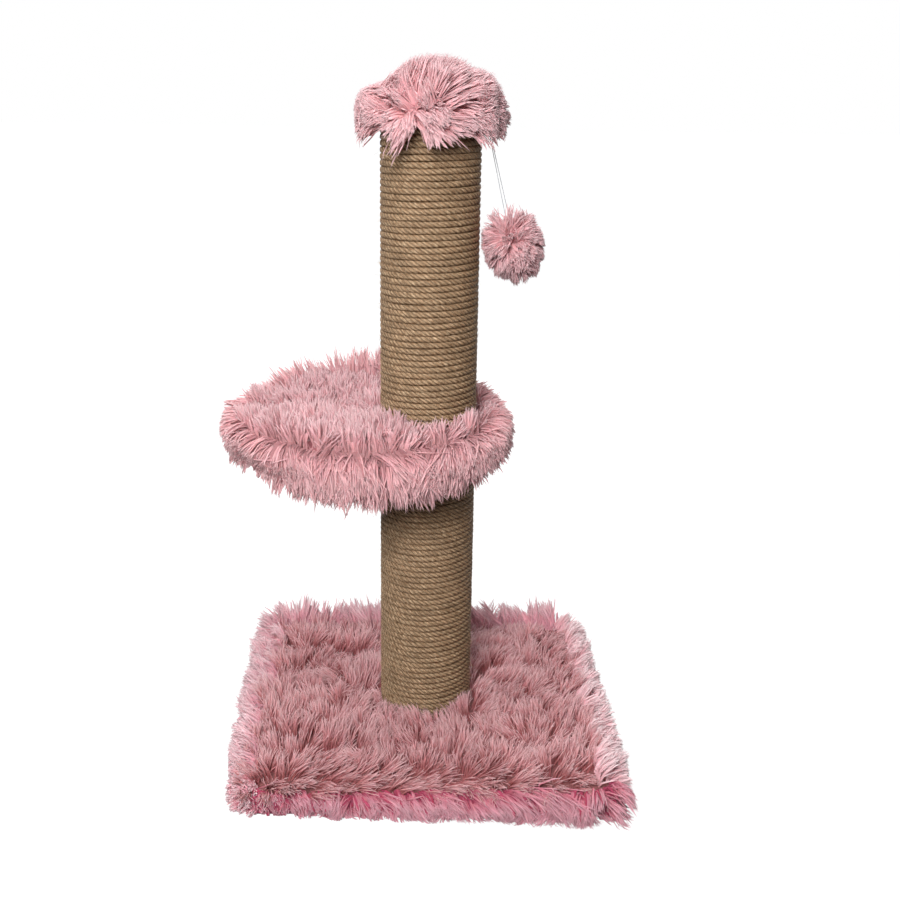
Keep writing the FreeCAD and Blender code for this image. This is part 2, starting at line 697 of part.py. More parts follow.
# Toy
def hang(item, distance):
    """Set a piece at a distance down the line, which leans out until the ball meets the post."""
    item.Placement = FreeCAD.Placement(V(), FreeCAD.Rotation(V(0, -1, 0), size(TOY_LEAN)))
    item.setExpression("Placement.Rotation.Angle", bound(TOY_LEAN))
    place(item, x=f"toy_reach + {distance} * sin({TOY_LEAN})",
          z=f"{TOY_CROWN_LEVEL} - {distance} * cos({TOY_LEAN})")
    doc.recompute()


def toy_staple():
    """The staple under the cap's edge that the line hangs on, its crown along Y."""
    wire = size("toy_wire")
    made = staple(size("toy_crown"), size("toy_drop + lining_thick + toy_leg"), wire)
    spot = V(size("toy_reach"), 0, size(TOY_CROWN_LEVEL) - wire / 2)
    made.Placement = FreeCAD.Placement(spot, FreeCAD.Rotation(V(0, 0, 1), 90))
    group("toy_staple", [made])


def toy_loop():
    """The loop of line round the staple's crown."""
    loop = doc.addObject("Part::Torus", "toy_loop")
    loop.setExpression("Radius1", bound("loop_radius"))
    loop.setExpression("Radius2", bound("line_thick / 2"))
    loop.Placement = FreeCAD.Placement(V(), FreeCAD.Rotation(V(1, 0, 0), 90))
    place(loop, x="toy_reach", z=TOY_CROWN_LEVEL)
    pieces.append(loop)


def toy_knot():
    """The knot below the loop."""
    knot = doc.addObject("Part::Sphere", "toy_knot")
    knot.setExpression("Radius", bound("knot_radius"))
    hang(knot, KNOT_CENTRE)
    pieces.append(knot)


def toy_line():
    """The doubled line, taut from the knot to the ball's neck, spreading downwards."""
    top = size(f"{KNOT_CENTRE} + knot_radius")
    bottom = size("hang_length - core_radius - toy_clear - tie_length")
    strands = []
    for side in (-0.5, 0.5):
        start = V(side * size("line_start"), 0, -top)
        way = V(side * size("line_spread"), 0, -bottom) - start
        strands.append(Part.makeCylinder(size("line_thick / 2"), way.Length, start, way))
    group("toy_line", strands)
    hang(pieces[-1], "0")


def ball_core():
    """The ball's stuffing."""
    core = doc.addObject("Part::Sphere", "ball_core")
    core.setExpression("Radius", bound("core_radius"))
    hang(core, "hang_length")
    pieces.append(core)


def ball_fur():
    """The fur round the stuffing, gathered at a neck on top."""
    body = new_body("ball_fur")
    outside = body.newObject("PartDesign::AdditiveSphere", "Outside")
    outside.setExpression("Radius", bound("ball_radius"))
    inside = body.newObject("PartDesign::SubtractiveSphere", "Inside")
    inside.setExpression("Radius", bound("core_radius + toy_clear"))
    neck = body.newObject("PartDesign::SubtractiveCylinder", "Neck")
    neck.setExpression("Radius", bound("tie_radius + toy_clear"))
    neck.setExpression("Height", bound("ball_radius"))
    body.Tip = neck
    hang(body, "hang_length")


def ball_tie():
    """The thread wound round the ball's neck, where the line is tied on."""
    seat = "(core_radius + toy_clear)"
    body = ring("ball_tie", "0", "tie_radius", seat, f"({seat} + tie_length)")
    hang(body, "hang_length")


# Assembly
base_board()
base_top_cover()
base_side_cover()
base_lining()
base_staples()
base_bolt()
post("lower", LOWER_FOOT)
shelf_board()
shelf_top_cover()
shelf_side_cover()
shelf_lining()
shelf_staples()
joining_stud()
post("upper", UPPER_FOOT)
cap_disc()
cap_bolt()
cap_cover()
cap_staples()
toy_staple()
toy_loop()
toy_knot()
toy_line()
ball_core()
ball_fur()
ball_tie()
doc.recompute()

# Checks, then one file for each piece
failed = [item.Label for item in doc.Objects if "Invalid" in item.State or "Error" in item.State]
failed += [piece.Label for piece in pieces if piece.Shape.isNull() or not piece.Shape.isValid()]
if failed:
    raise RuntimeError("pieces that failed: " + ", ".join(failed))
os.makedirs("parts", exist_ok=True)
for piece in pieces:
    piece.Shape.exportStep(f"parts/{piece.Label}.step")
print(f"{len(pieces)} pieces written")
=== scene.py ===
import math

import bpy
import numpy as np
from mathutils import Matrix, Vector


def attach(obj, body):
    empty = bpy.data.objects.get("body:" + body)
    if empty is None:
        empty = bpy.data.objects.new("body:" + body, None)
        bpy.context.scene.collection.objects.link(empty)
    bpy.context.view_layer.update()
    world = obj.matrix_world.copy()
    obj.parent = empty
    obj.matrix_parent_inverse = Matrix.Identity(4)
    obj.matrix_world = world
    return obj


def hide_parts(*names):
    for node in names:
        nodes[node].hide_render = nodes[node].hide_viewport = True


# A fur-covered cat scratcher: square base, rope-wound post, round shelf, cap and hanging ball.
# Metres, +Z up, the origin on the floor under the post.

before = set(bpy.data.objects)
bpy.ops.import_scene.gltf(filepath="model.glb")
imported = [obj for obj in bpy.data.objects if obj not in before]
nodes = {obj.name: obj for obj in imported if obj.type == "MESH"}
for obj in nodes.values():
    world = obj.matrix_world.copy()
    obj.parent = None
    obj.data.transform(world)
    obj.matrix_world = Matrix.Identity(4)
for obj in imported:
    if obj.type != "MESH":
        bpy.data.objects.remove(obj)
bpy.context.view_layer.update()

# Levels and sizes of the part
POST_RADIUS = 0.04705
LOWER_FOOT = 0.0195
UPPER_FOOT = 0.327
SHELF_CENTRE = (-0.06011, 0.01499)
SHELF_RADIUS = 0.123
SHELF_CLOTH = 0.326
BASE_CLOTH = 0.0187
FLOOR_CLEAR = 0.0021

# Rope
ROPE_CENTRE_RADIUS = 0.04435
ROPE_PITCH = 0.00585
ROPE_TURNS = 24
ROPE_FIRST_CENTRE = 0.0031
ROPE_END_PLAY = 0.0016

# Toy
TOY_PIVOT = np.array([0.053, 0.0, 0.6085])
TOY_AXIS = np.array([0.235648, 0.0, -0.97184])
TOY_SIDE = np.array([0.97184, 0.0, 0.235648])
BALL_CENTRE = TOY_PIVOT + TOY_AXIS * 0.108
CORE_RADIUS = 0.014


# Camera
CAMERA_PLACE = Vector((-0.0072, -1.1152, 0.653))
CAMERA_AHEAD = Vector((0.025, 0.953, -0.302))
CAMERA_ROLL = 0.92
CAMERA_SENSOR = 36
CAMERA_LENS = 47.04


def make_camera():
    """The photograph's view: level with the cap, looking down at the base."""
    ahead = CAMERA_AHEAD.normalized()
    roll = math.radians(CAMERA_ROLL)
    level = ahead.cross(Vector((0, 0, 1))).normalized()
    upright = level.cross(ahead)
    right = level * math.cos(roll) + upright * math.sin(roll)
    up = upright * math.cos(roll) - level * math.sin(roll)
    data = bpy.data.cameras.new("camera")
    data.sensor_width = CAMERA_SENSOR
    data.lens = CAMERA_LENS
    camera = bpy.data.objects.new("camera", data)
    turn = Matrix((right, up, -ahead)).transposed().to_4x4()
    camera.matrix_world = Matrix.Translation(CAMERA_PLACE) @ turn
    bpy.context.collection.objects.link(camera)
    bpy.context.scene.camera = camera


# Node helpers
def linear(red, green, blue):
    """A colour written in 0 to 255, as the shader takes it."""
    values = []
    for part in (red, green, blue):
        share = part / 255
        values.append(share / 12.92 if share <= 0.04045 else ((share + 0.055) / 1.055) ** 2.4)
    return (*values, 1)


def new_finish(name):
    """A material with its tree and its shader."""
    made = bpy.data.materials.new(name)
    made.use_nodes = True
    return made, made.node_tree, made.node_tree.nodes["Principled BSDF"]


def set_inputs(tree, node, inputs):
    """Set a node's inputs, or link them to other nodes."""
    for key, value in inputs.items():
        if isinstance(value, bpy.types.NodeSocket):
            tree.links.new(value, node.inputs[key])
        else:
            node.inputs[key].default_value = value


def add_node(tree, kind, inputs=(), **settings):
    """A node with its settings and some of its inputs set or linked."""
    made = tree.nodes.new(kind)
    for key, value in settings.items():
        setattr(made, key, value)
    set_inputs(tree, made, dict(inputs))
    return made


def combine(tree, operation, *values):
    """One or two values put through a sum."""
    return add_node(tree, "ShaderNodeMath", enumerate(values), operation=operation).outputs[0]


def ramp(tree, source, stops):
    """Colours along a value, as (place, colour) stops."""
    made = add_node(tree, "ShaderNodeValToRGB", {"Fac": source})
    points = made.color_ramp.elements
    while len(points) < len(stops):
        points.new(0.5)
    for point, (place, colour) in zip(points, stops):
        point.position = place
        point.color = linear(*colour)
    return made.outputs["Color"]


def remap(tree, source, low, high, start=0.0, end=1.0):
    """A value from start..end brought to low..high."""
    made = add_node(tree, "ShaderNodeMapRange", {
        "Value": source, "From Min": start, "From Max": end, "To Min": low, "To Max": high,
    })
    return made.outputs["Result"]


# Noise stays mostly between these values
NOISE_SPAN = (0.3, 0.7)


def stretched_noise(tree, place, stretch, scale, detail=4.0):
    """Noise drawn out along an axis."""
    moved = add_node(tree, "ShaderNodeMapping", {"Vector": place, "Scale": stretch})
    made = add_node(tree, "ShaderNodeTexNoise", {
        "Vector": moved.outputs["Vector"], "Scale": scale, "Detail": detail,
    })
    return made.outputs["Fac"]


def shade(tree, colour, value, hue=0.5):
    """A colour made lighter or darker, and turned in hue."""
    made = add_node(tree, "ShaderNodeHueSaturation", {"Hue": hue, "Value": value, "Color": colour})
    return made.outputs["Color"]


def object_place(tree):
    """The piece's own coordinates."""
    return add_node(tree, "ShaderNodeTexCoord").outputs["Object"]


def map_place(tree, label):
    """Coordinates on one of the piece's UV maps, and their axes."""
    place = add_node(tree, "ShaderNodeUVMap", uv_map=label).outputs["UV"]
    return place, add_node(tree, "ShaderNodeSeparateXYZ", {"Vector": place}).outputs


def bump(tree, shader, height, strength, distance):
    """Relief on the shader's normal."""
    made = add_node(tree, "ShaderNodeBump", {"Height": height, "Strength": strength, "Distance": distance})
    tree.links.new(made.outputs["Normal"], shader.inputs["Normal"])


# Finishes
def fur_finish(name, root, middle, tip, rooted):
    """Long pile: darker at the root, partly its own colour and partly painted shade deep in the pile; paler
    at the tip, each strand a little different.
    """
    made, tree, shader = new_finish(name)
    place, axes = map_place(tree, "OFBake")
    along = ramp(tree, axes["Y"], [(0.0, root), (rooted, root), (rooted + 0.32, middle), (1.0, tip)])
    fleck = stretched_noise(tree, place, (140, 2.5, 1), 1.0)
    light = remap(tree, axes["X"], 0.86, 1.11)
    shift = remap(tree, fleck, 0.92, 1.08, *NOISE_SPAN)
    hue = remap(tree, fleck, 0.494, 0.508, *NOISE_SPAN)
    set_inputs(tree, shader, {
        "Base Color": shade(tree, along, combine(tree, "MULTIPLY", light, shift), hue),
        "Roughness": remap(tree, axes["Y"], 0.75, 0.5), "Specular IOR Level": 0.06,
        "Subsurface Weight": 0.7, "Subsurface Radius": (1.0, 1.0, 1.0), "Subsurface Scale": 0.0015,
        "Sheen Weight": 0.03, "Sheen Roughness": 0.4,
    })
    return made


def cloth_back_finish(name, colour, dark):
    """The knitted cloth that the pile stands on."""
    made, tree, shader = new_finish(name)
    place = object_place(tree)
    knit = add_node(tree, "ShaderNodeTexVoronoi", {"Vector": place, "Scale": 900.0}).outputs["Distance"]
    patch = stretched_noise(tree, place, (1, 1, 1), 60.0)
    mixed = combine(tree, "MULTIPLY", knit, patch)
    shades = ramp(tree, mixed, [(0.0, dark), (0.5, colour)])
    set_inputs(tree, shader, {"Base Color": shades, "Roughness": 0.9})
    bump(tree, shader, knit, 0.6, 0.0005)
    return made


def lining_finish():
    """Pressed lining cloth: grey fibres in all directions, with small bonded dots."""
    made, tree, shader = new_finish("lining_cloth")
    place = object_place(tree)
    fibre = stretched_noise(tree, place, (1, 4, 1), 700.0, 6.0)
    dots = add_node(tree, "ShaderNodeTexVoronoi", {"Vector": place, "Scale": 420.0, "Randomness": 0.15})
    dot = remap(tree, dots.outputs["Distance"], 0.75, 1.0, 0.12, 0.3)
    grey = ramp(tree, fibre, [(0.25, (46, 45, 47)), (0.75, (84, 82, 84))])
    set_inputs(tree, shader, {"Base Color": shade(tree, grey, dot), "Roughness": 0.85})
    bump(tree, shader, dot, 0.4, 0.0004)
    return made


def jute_finish():
    """Jute strands: straw-coloured fibres along each strand, with painted highlights on the strands' crests
    and painted shade between the strands.
    """
    made, tree, shader = new_finish("jute")
    place, axes = map_place(tree, "Strand")
    fibre = stretched_noise(tree, place, (220, 26, 1), 1.0, 6.0)
    yarn = stretched_noise(tree, place, (90, 3, 1), 1.0, 3.0)
    patch = stretched_noise(tree, object_place(tree), (1, 1, 1.6), 45.0)
    # Fibre tones from dark to pale: the fibres' own mixed colour, and their palest specks are painted glints,
    # as the jute's own gloss is kept low
    fibre_tones_and_glints = ramp(tree, fibre, [(0.32, (66, 44, 29)), (0.49, (132, 101, 73)), (0.66, (226, 200, 166))])
    # The strands' crests are made lighter as painted highlight, and the grooves between them darker as
    # painted shade
    lobe = combine(tree, "FRACT", axes["Y"])
    edge = combine(tree, "ABSOLUTE", combine(tree, "SUBTRACT", lobe, 0.5))
    crest_light_and_groove_shade = remap(tree, edge, 1.1, 0.42, 0.2, 0.5)
    worn = remap(tree, patch, 0.84, 1.12, *NOISE_SPAN)
    tone = remap(tree, yarn, 0.74, 1.2, *NOISE_SPAN)
    value = combine(tree, "MULTIPLY", combine(tree, "MULTIPLY", crest_light_and_groove_shade, worn), tone)
    set_inputs(tree, shader, {
        "Base Color": shade(tree, fibre_tones_and_glints, value), "Roughness": remap(tree, fibre, 0.62, 0.4, *NOISE_SPAN),
        "Specular IOR Level": 0.08,
    })
    bump(tree, shader, fibre, 0.8, 0.0004)
    return made


def fibre_finish():
    """Single loose jute fibres."""
    made, tree, shader = new_finish("jute_fibre")
    axes = map_place(tree, "OFBake")[1]
    set_inputs(tree, shader, {
        "Base Color": ramp(tree, axes["X"], [(0.0, (140, 108, 76)), (1.0, (212, 184, 146))]),
        "Roughness": remap(tree, axes["Y"], 0.7, 0.5),
    })
    return made


def line_finish():
    """Clear nylon line: pale, glossy, faintly uneven."""
    made, tree, shader = new_finish("clear_line")
    haze = stretched_noise(tree, object_place(tree), (1, 1, 0.3), 240.0)
    set_inputs(tree, shader, {
        "Base Color": ramp(tree, haze, [(0.3, (150, 153, 160)), (0.7, (196, 198, 203))]),
        "Roughness": remap(tree, haze, 0.14, 0.3), "Transmission Weight": 0.2, "IOR": 1.53,
    })
    return made


def board_finish():
    """Pressed wood board: fine chips, fuzzy on the cut edge."""
    made, tree, shader = new_finish("pressed_board")
    place = object_place(tree)
    chips = add_node(tree, "ShaderNodeTexVoronoi", {"Vector": place, "Scale": 260.0}).outputs["Color"]
    dust = stretched_noise(tree, place, (1, 1, 2), 500.0, 6.0)
    flake = add_node(tree, "ShaderNodeSeparateXYZ", {"Vector": chips}).outputs["X"]
    mixed = combine(tree, "MULTIPLY", flake, dust)
    brown = ramp(tree, mixed, [(0.05, (128, 96, 62)), (0.5, (196, 164, 120))])
    set_inputs(tree, shader, {"Base Color": brown, "Roughness": 0.8})
    bump(tree, shader, dust, 0.3, 0.0004)
    return made


def plug_finish():
    """Pine end plugs with growth rings and end-grain pores."""
    made, tree, shader = new_finish("pine_plug")
    place = object_place(tree)
    moved = add_node(tree, "ShaderNodeMapping", {"Vector": place, "Location": (0.05, 0.03, 0)})
    rings = add_node(tree, "ShaderNodeTexWave", {
        "Vector": moved.outputs["Vector"], "Scale": 55.0, "Distortion": 3.0, "Detail": 3.0,
    }, wave_type="RINGS", rings_direction="Z").outputs["Fac"]
    pores = remap(tree, stretched_noise(tree, place, (1, 1, 0.1), 900.0), 0.85, 1.08, 0.3, 0.6)
    wood = ramp(tree, rings, [(0.1, (176, 134, 84)), (0.8, (220, 186, 136))])
    set_inputs(tree, shader, {"Base Color": shade(tree, wood, pores), "Roughness": 0.65})
    bump(tree, shader, rings, 0.15, 0.0003)
    return made


def steel_finish():
    """Bright zinc-plated steel with fine drawing marks."""
    made, tree, shader = new_finish("zinc_steel")
    place = object_place(tree)
    marks = stretched_noise(tree, place, (1, 1, 0.05), 1600.0)
    cloud = stretched_noise(tree, place, (1, 1, 1), 180.0)
    set_inputs(tree, shader, {
        "Base Color": ramp(tree, cloud, [(0.3, (150, 152, 156)), (0.7, (190, 191, 192))]),
        "Roughness": remap(tree, marks, 0.24, 0.46), "Metallic": 1.0,
    })
    return made


def grained_finish(name, grain, stops, roughness, relief):
    """A matt stuff of two mixed shades; grain is the noise's stretch, scale and detail."""
    made, tree, shader = new_finish(name)
    noise = stretched_noise(tree, object_place(tree), *grain)
    set_inputs(tree, shader, {"Base Color": ramp(tree, noise, stops), "Roughness": roughness})
    bump(tree, shader, noise, *relief)
    return made


# Mesh helpers
def unit(vectors):
    """Vectors brought to length one."""
    return vectors / np.maximum(np.linalg.norm(vectors, axis=-1, keepdims=True), 1e-9)


def flat_flow(angle):
    """A level direction at an angle from +X."""
    return np.stack([np.cos(angle), np.sin(angle), np.zeros_like(angle)], axis=-1)


def triangle_piece(name, points, triangles, maps, finish, smooth):
    """A mesh piece from points, triangles and one UV per corner for each named map."""
    mesh = bpy.data.meshes.new(name)
    mesh.vertices.add(len(points))
    mesh.vertices.foreach_set("co", np.ascontiguousarray(points, dtype=np.float32).ravel())
    mesh.loops.add(triangles.size)
    mesh.loops.foreach_set("vertex_index", triangles.astype(np.int32).ravel())
    mesh.polygons.add(len(triangles))
    mesh.polygons.foreach_set("loop_start", np.arange(0, triangles.size, 3, dtype=np.int32))
    for label, corners in maps.items():
        layer = mesh.uv_layers.new(name=label)
        layer.data.foreach_set("uv", np.ascontiguousarray(corners, dtype=np.float32).ravel())
    mesh.polygons.foreach_set("use_smooth", np.full(len(triangles), smooth))
    mesh.update(calc_edges=True)
    mesh.materials.append(finish)
    piece = bpy.data.objects.new(name, mesh)
    bpy.context.collection.objects.link(piece)
    return piece


def deselect():
    """Nothing selected, so that an operator acts on the new piece alone."""
    bpy.ops.object.select_all(action="DESELECT")


# Thickness and unevenness of the cloths
CLOTH_WALL = 0.0009
SHEET_WALL = 0.0008
ROUND_CRUMPLE = 0.00025
BAND_CRUMPLE = 0.0002
SHEET_CRUMPLE = 0.00012
SHEET_INSETS = (0.003, 0.006, 0.008)
CLOTH_WELD = 0.00005


def raise_rings(profile, centre):
    """Extrude the selected loop along (size, height) steps, drawing it in or out about the centre."""
    for (size, height), (next_size, next_height) in zip(profile, profile[1:]):
        bpy.ops.mesh.extrude_region_move(TRANSFORM_OT_translate={"value": (0, 0, next_height - height)})
        share = next_size / size
        bpy.ops.transform.resize(value=(share, share, 1), center_override=(*centre, next_height))


def finish_cloth(name, thickness, unevenness, seed, finish):
    """Even out the edited shell, crumple it slightly, and give it its thickness."""
    bpy.ops.mesh.select_all(action="SELECT")
    bpy.ops.mesh.remove_doubles(threshold=CLOTH_WELD)
    bpy.ops.mesh.normals_make_consistent(inside=False)
    bpy.ops.transform.vertex_random(offset=unevenness, seed=seed)
    bpy.ops.object.mode_set(mode="OBJECT")
    piece = bpy.context.object
    piece.name = name
    piece.data.name = name
    wall = piece.modifiers.new("wall", "SOLIDIFY")
    wall.thickness = thickness
    wall.offset = 0
    bpy.ops.object.modifier_apply(modifier="wall")
    bpy.ops.object.transform_apply(location=True, rotation=True, scale=True)
    bpy.ops.object.shade_smooth()
    piece.data.materials.append(finish)
    deselect()
    return piece


def round_cloth(name, profile, centre, closed, seed, finish, sides=96):
    """Cloth raised ring by ring from a circle; closed brings the last ring together."""
    deselect()
    size, height = profile[0]
    bpy.ops.mesh.primitive_circle_add(vertices=sides, radius=size, location=(*centre, height))
    bpy.ops.object.mode_set(mode="EDIT")
    bpy.ops.mesh.select_all(action="SELECT")
    raise_rings(profile, centre)
    if closed:
        bpy.ops.mesh.merge(type="CENTER")
    return finish_cloth(name, CLOTH_WALL, ROUND_CRUMPLE, seed, finish)


def square_loop(half, corner, height):
    """Edit a plane into a square with round corners."""
    deselect()
    bpy.ops.mesh.primitive_plane_add(size=2 * half, location=(0, 0, height))
    bpy.ops.object.mode_set(mode="EDIT")
    bpy.ops.mesh.select_mode(type="VERT")
    bpy.ops.mesh.select_all(action="SELECT")
    bpy.ops.mesh.bevel(affect="VERTICES", offset=corner, segments=8)
    bpy.ops.mesh.select_all(action="SELECT")


def square_band(name, profile, corner, seed, finish):
    """A band of cloth round a square board."""
    half, height = profile[0]
    square_loop(half, corner, height)
    bpy.ops.mesh.delete(type="ONLY_FACE")
    bpy.ops.mesh.select_all(action="SELECT")
    bpy.ops.mesh.subdivide(number_cuts=3)
    raise_rings(profile, (0, 0))
    return finish_cloth(name, CLOTH_WALL, BAND_CRUMPLE, seed, finish)


def square_sheet(name, half, corner, height, seed, finish):
    """A flat sheet of cloth with round corners, with a few rings inside its edge."""
    square_loop(half, corner, height)
    for step in SHEET_INSETS:
        bpy.ops.mesh.inset(thickness=step)
    return finish_cloth(name, SHEET_WALL, SHEET_CRUMPLE, seed, finish)


# Pieces on their bodies
BODY = "scratcher"


def mount(piece, body, node=None):
    """A piece rides its body, and may stand for a CAD node."""
    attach(piece, body)
    if node:
        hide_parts(node)


def dress(cloth, node, body, pile=()):
    """A stretched cloth stands for its CAD node, with its pile on it."""
    mount(cloth, body, node)
    for piece in pile:
        mount(piece, body)


# Rope
RINGS_PER_TURN = 160
STRAND_RADII = (0.00195, 0.00266, 0.00266)
ROPE_STRANDS = 4
ROPE_LAY = 0.0212
ROPE_SPREAD = 1.12
ROPE_PRESSED = 3.0
ROPE_WANDER = 0.00014
ROPE_SLACK = 0.035
ROPE_SIDES = len(STRAND_RADII) * ROPE_STRANDS
# How much of a turn's row its walls fill on the map, and where the map's blank corner is
ROW_FILL = 0.96
BLANK_CORNER = ((0.99, 0.98), (1.0, 0.98), (1.0, 0.99))


def rope_places(foot, order, turns):
    """Points on the wound rope's centre line, with its outward and upward directions."""
    angle = math.pi / 2 + 2 * math.pi * (ROPE_TURNS * order + turns)
    rise = ROPE_PITCH * (ROPE_TURNS * order + turns)
    wander = ROPE_WANDER * (np.sin(angle * 2.31) + np.sin(angle * 0.83 + 1.0) + np.sin(angle * 5.17))
    height = foot + ROPE_FIRST_CENTRE + rise + wander
    outward = flat_flow(angle)
    centre = outward * ROPE_CENTRE_RADIUS
    centre[:, 2] = height
    slope = ROPE_PITCH / (2 * math.pi * ROPE_CENTRE_RADIUS)
    along = np.stack([-np.sin(angle), np.cos(angle), np.full_like(angle, slope)], axis=-1)
    upward = unit(np.cross(outward, unit(along)))
    return centre, outward, upward


def rope_points(foot, order, turns, length):
    """Rings of points round the wound rope: its strands, turned by the lay and pressed square."""
    centre, outward, upward = rope_places(foot, order, turns)
    radii = np.tile(STRAND_RADII, ROPE_STRANDS)
    around = 2 * math.pi * (np.arange(ROPE_SIDES) / ROPE_SIDES - length[:, None] / ROPE_LAY)
    slack = 1 + ROPE_SLACK * np.sin(length[:, None] * 71.0 + order) * np.sin(length[:, None] * 23.0)
    pressed = np.abs(np.cos(around)) ** ROPE_PRESSED + np.abs(np.sin(around)) ** ROPE_PRESSED
    reach = radii * slack * pressed ** (-1 / ROPE_PRESSED)
    section = outward[:, None] * (reach * np.cos(around))[..., None]
    section = section + upward[:, None] * (reach * ROPE_SPREAD * np.sin(around))[..., None]
    points = (centre[:, None] + section).reshape(-1, 3)
    return np.concatenate([points, centre[:1], centre[-1:]])


def rope_maps(ring, side, length):
    """The rope's two maps: a row for each turn, and a row for each strand along the rope's length."""
    nothing = 0 * ring * side
    row = (ring // RINGS_PER_TURN + nothing) / ROPE_TURNS
    left = (ring % RINGS_PER_TURN + nothing) / RINGS_PER_TURN
    right = left + 1 / RINGS_PER_TURN
    low = row + (side + nothing) / ROPE_SIDES / ROPE_TURNS * ROW_FILL
    high = row + (side + 1 + nothing) / ROPE_SIDES / ROPE_TURNS * ROW_FILL
    bake = wall_corners(left, right, low, high)
    per_strand = ROPE_SIDES / ROPE_STRANDS
    strand = wall_corners(length[:-1, None] + nothing, length[1:, None] + nothing,
                          (side + nothing) / per_strand, (side + 1 + nothing) / per_strand)
    blank = np.tile(BLANK_CORNER, (2 * ROPE_SIDES, 1))
    return {"OFBake": np.concatenate([bake, blank]), "Strand": np.concatenate([strand, blank * 0.01 + 0.5])}


def rope_piece(name, foot, order, finish):
    """One length of four-strand rope, wound on the tube."""
    count = ROPE_TURNS * RINGS_PER_TURN
    turns = np.linspace(ROPE_END_PLAY, ROPE_TURNS - ROPE_END_PLAY, count + 1)
    length = turns * math.hypot(2 * math.pi * ROPE_CENTRE_RADIUS, ROPE_PITCH)
    points = rope_points(foot, order, turns, length)
    ring = np.arange(count)[:, None]
    side = np.arange(ROPE_SIDES)[None, :]
    after = (side + 1) % ROPE_SIDES
    a = ring * ROPE_SIDES + side
    b = ring * ROPE_SIDES + after
    c = (ring + 1) * ROPE_SIDES + after
    d = (ring + 1) * ROPE_SIDES + side
    walls = np.stack([np.stack([a, b, c], -1), np.stack([a, c, d], -1)], axis=2).reshape(-1, 3)
    first = np.stack([0 * side[0] + len(points) - 2, after[0], side[0]], -1)
    last_ring = count * ROPE_SIDES
    last = np.stack([0 * side[0] + len(points) - 1, side[0] + last_ring, after[0] + last_ring], -1)
    triangles = np.concatenate([walls, first, last])
    return triangle_piece(name, points, triangles, rope_maps(ring, side, length), finish, True)


def wall_corners(left, right, low, high):
    """UV corners of the two triangles of each wall face."""
    a = np.stack([left, low], -1)
    b = np.stack([left, high], -1)
    c = np.stack([right, high], -1)
    d = np.stack([right, low], -1)
    return np.stack([a, b, c, a, c, d], axis=2).reshape(-1, 2)


# Strands of pile
TINTS = 64
FINE_KNOTS = np.array([0.0, 0.3, 0.6, 0.88, 1.0])
LONG_KNOTS = np.array([0.0, 0.42, 0.84, 1.0])
SHORT_KNOTS = np.array([0.0, 0.5, 1.0])
# The undercoat's strands take the pile's colours from the root up to their paleness; a lower paleness keeps
# them in the root's darker colour, partly painted shade deep in the pile
UNDER_STRANDS = 3
UNDER_LENGTH = 0.62
UNDER_WIDTH = 2.2
UNDER_PALENESS = 0.66
TRIM_LEAST = 0.87
SHORTEST_SHARE = 0.3
STRAND_TAPER = 0.28
WIDTH_SPREAD = (0.55, 1.45)
LENGTH_SPREAD = (0.78, 1.06)
LOCK_PLAY = 0.006
EDGE_PLAY = 0.004
TINT_SPREAD = 7
TINT_MARGIN = 0.1
TINT_FILL = 0.8
TIP_LOOSENESS = 1.3
GATHER_POWER = 1.3
HILL_PACES = (0.6, 1.5)
STRAY_LOOSENESS = 2.5
TUFT_SHIFT = 0.42
ROPE_CLEAR = 0.0007
POST_GAP = 0.002
GOLDEN_ANGLE = 2.39996
GRAVITY = np.array([0.0, 0.0, -1.0])
UPWARD = np.array([0.0, 0.0, 1.0])


def bell(value, middle, width):
    """1 at the middle, falling to nothing within about two widths."""
    return np.exp(-((value - middle) / width) ** 2)


def ease(value, start, span, most=1):
    """0 up to the start, then rising by 1 over each span, up to the most."""
    return np.clip((value - start) / span, 0, most)


def ripples(value, waves):
    """Small waves along a value, as (size, pace, phase) each."""
    return sum(size * np.sin(pace * value + phase) for size, pace, phase in waves)


def strand_pattern(knots):
    """Faces of one closed three-sided spike, and their corners' places across and along it."""
    rings = len(knots) - 1
    faces = [(0, 2, 1)]
    spots = [((0, 0.0), (1, 0.0), (0.5, 0.03))]
    for ring in range(rings):
        for side in range(3):
            a = 3 * ring + side
            b = 3 * ring + (side + 1) % 3
            left = side / 3
            right = (side + 1) / 3
            low = knots[ring]
            if ring == rings - 1:
                faces.append((a, b, 3 * rings))
                spots.append(((left, low), (right, low), ((left + right) / 2, 1.0)))
            else:
                high = knots[ring + 1]
                faces.append((a, b, b + 3))
                spots.append(((left, low), (right, low), (right, high)))
                faces.append((a, b + 3, a + 3))
                spots.append(((left, low), (right, high), (left, high)))
    return np.array(faces), np.array(spots).reshape(-1, 2)


def strand_piece(name, curves, knots, width, tint, paleness, finish):
    """Tapered strands along curves of a few knots, each a closed three-sided spike."""
    rng = np.random.default_rng(len(curves))
    count = len(curves)
    rings = len(knots) - 1
    along = unit(np.gradient(curves, axis=1))
    aside = unit(np.cross(along, unit(rng.normal(size=(count, 1, 3)))))
    across = np.cross(along, aside)
    spin = np.radians([0.0, 120.0, 240.0])[:, None]
    rim = np.cos(spin) * aside[:, :rings, None] + np.sin(spin) * across[:, :rings, None]
    taper = 1.0 - STRAND_TAPER * knots[:rings] ** 2
    half = 0.5 * width[:, None] * taper
    body = curves[:, :rings, None] + rim * half[..., None, None]
    points = np.concatenate([body.reshape(count, rings * 3, 3), curves[:, -1:]], axis=1)
    faces, corners = strand_pattern(knots)
    triangles = (faces[None] + (np.arange(count) * (3 * rings + 1))[:, None, None]).reshape(-1, 3)
    spots = np.empty((count, len(corners), 2))
    spots[..., 0] = (tint[:, None] + TINT_MARGIN + TINT_FILL * corners[:, 0]) / TINTS
    spots[..., 1] = corners[:, 1] * paleness[:, None]
    maps = {"OFBake": spots.reshape(-1, 2)}
    return triangle_piece(name, points.reshape(-1, 3), triangles, maps, finish, False)


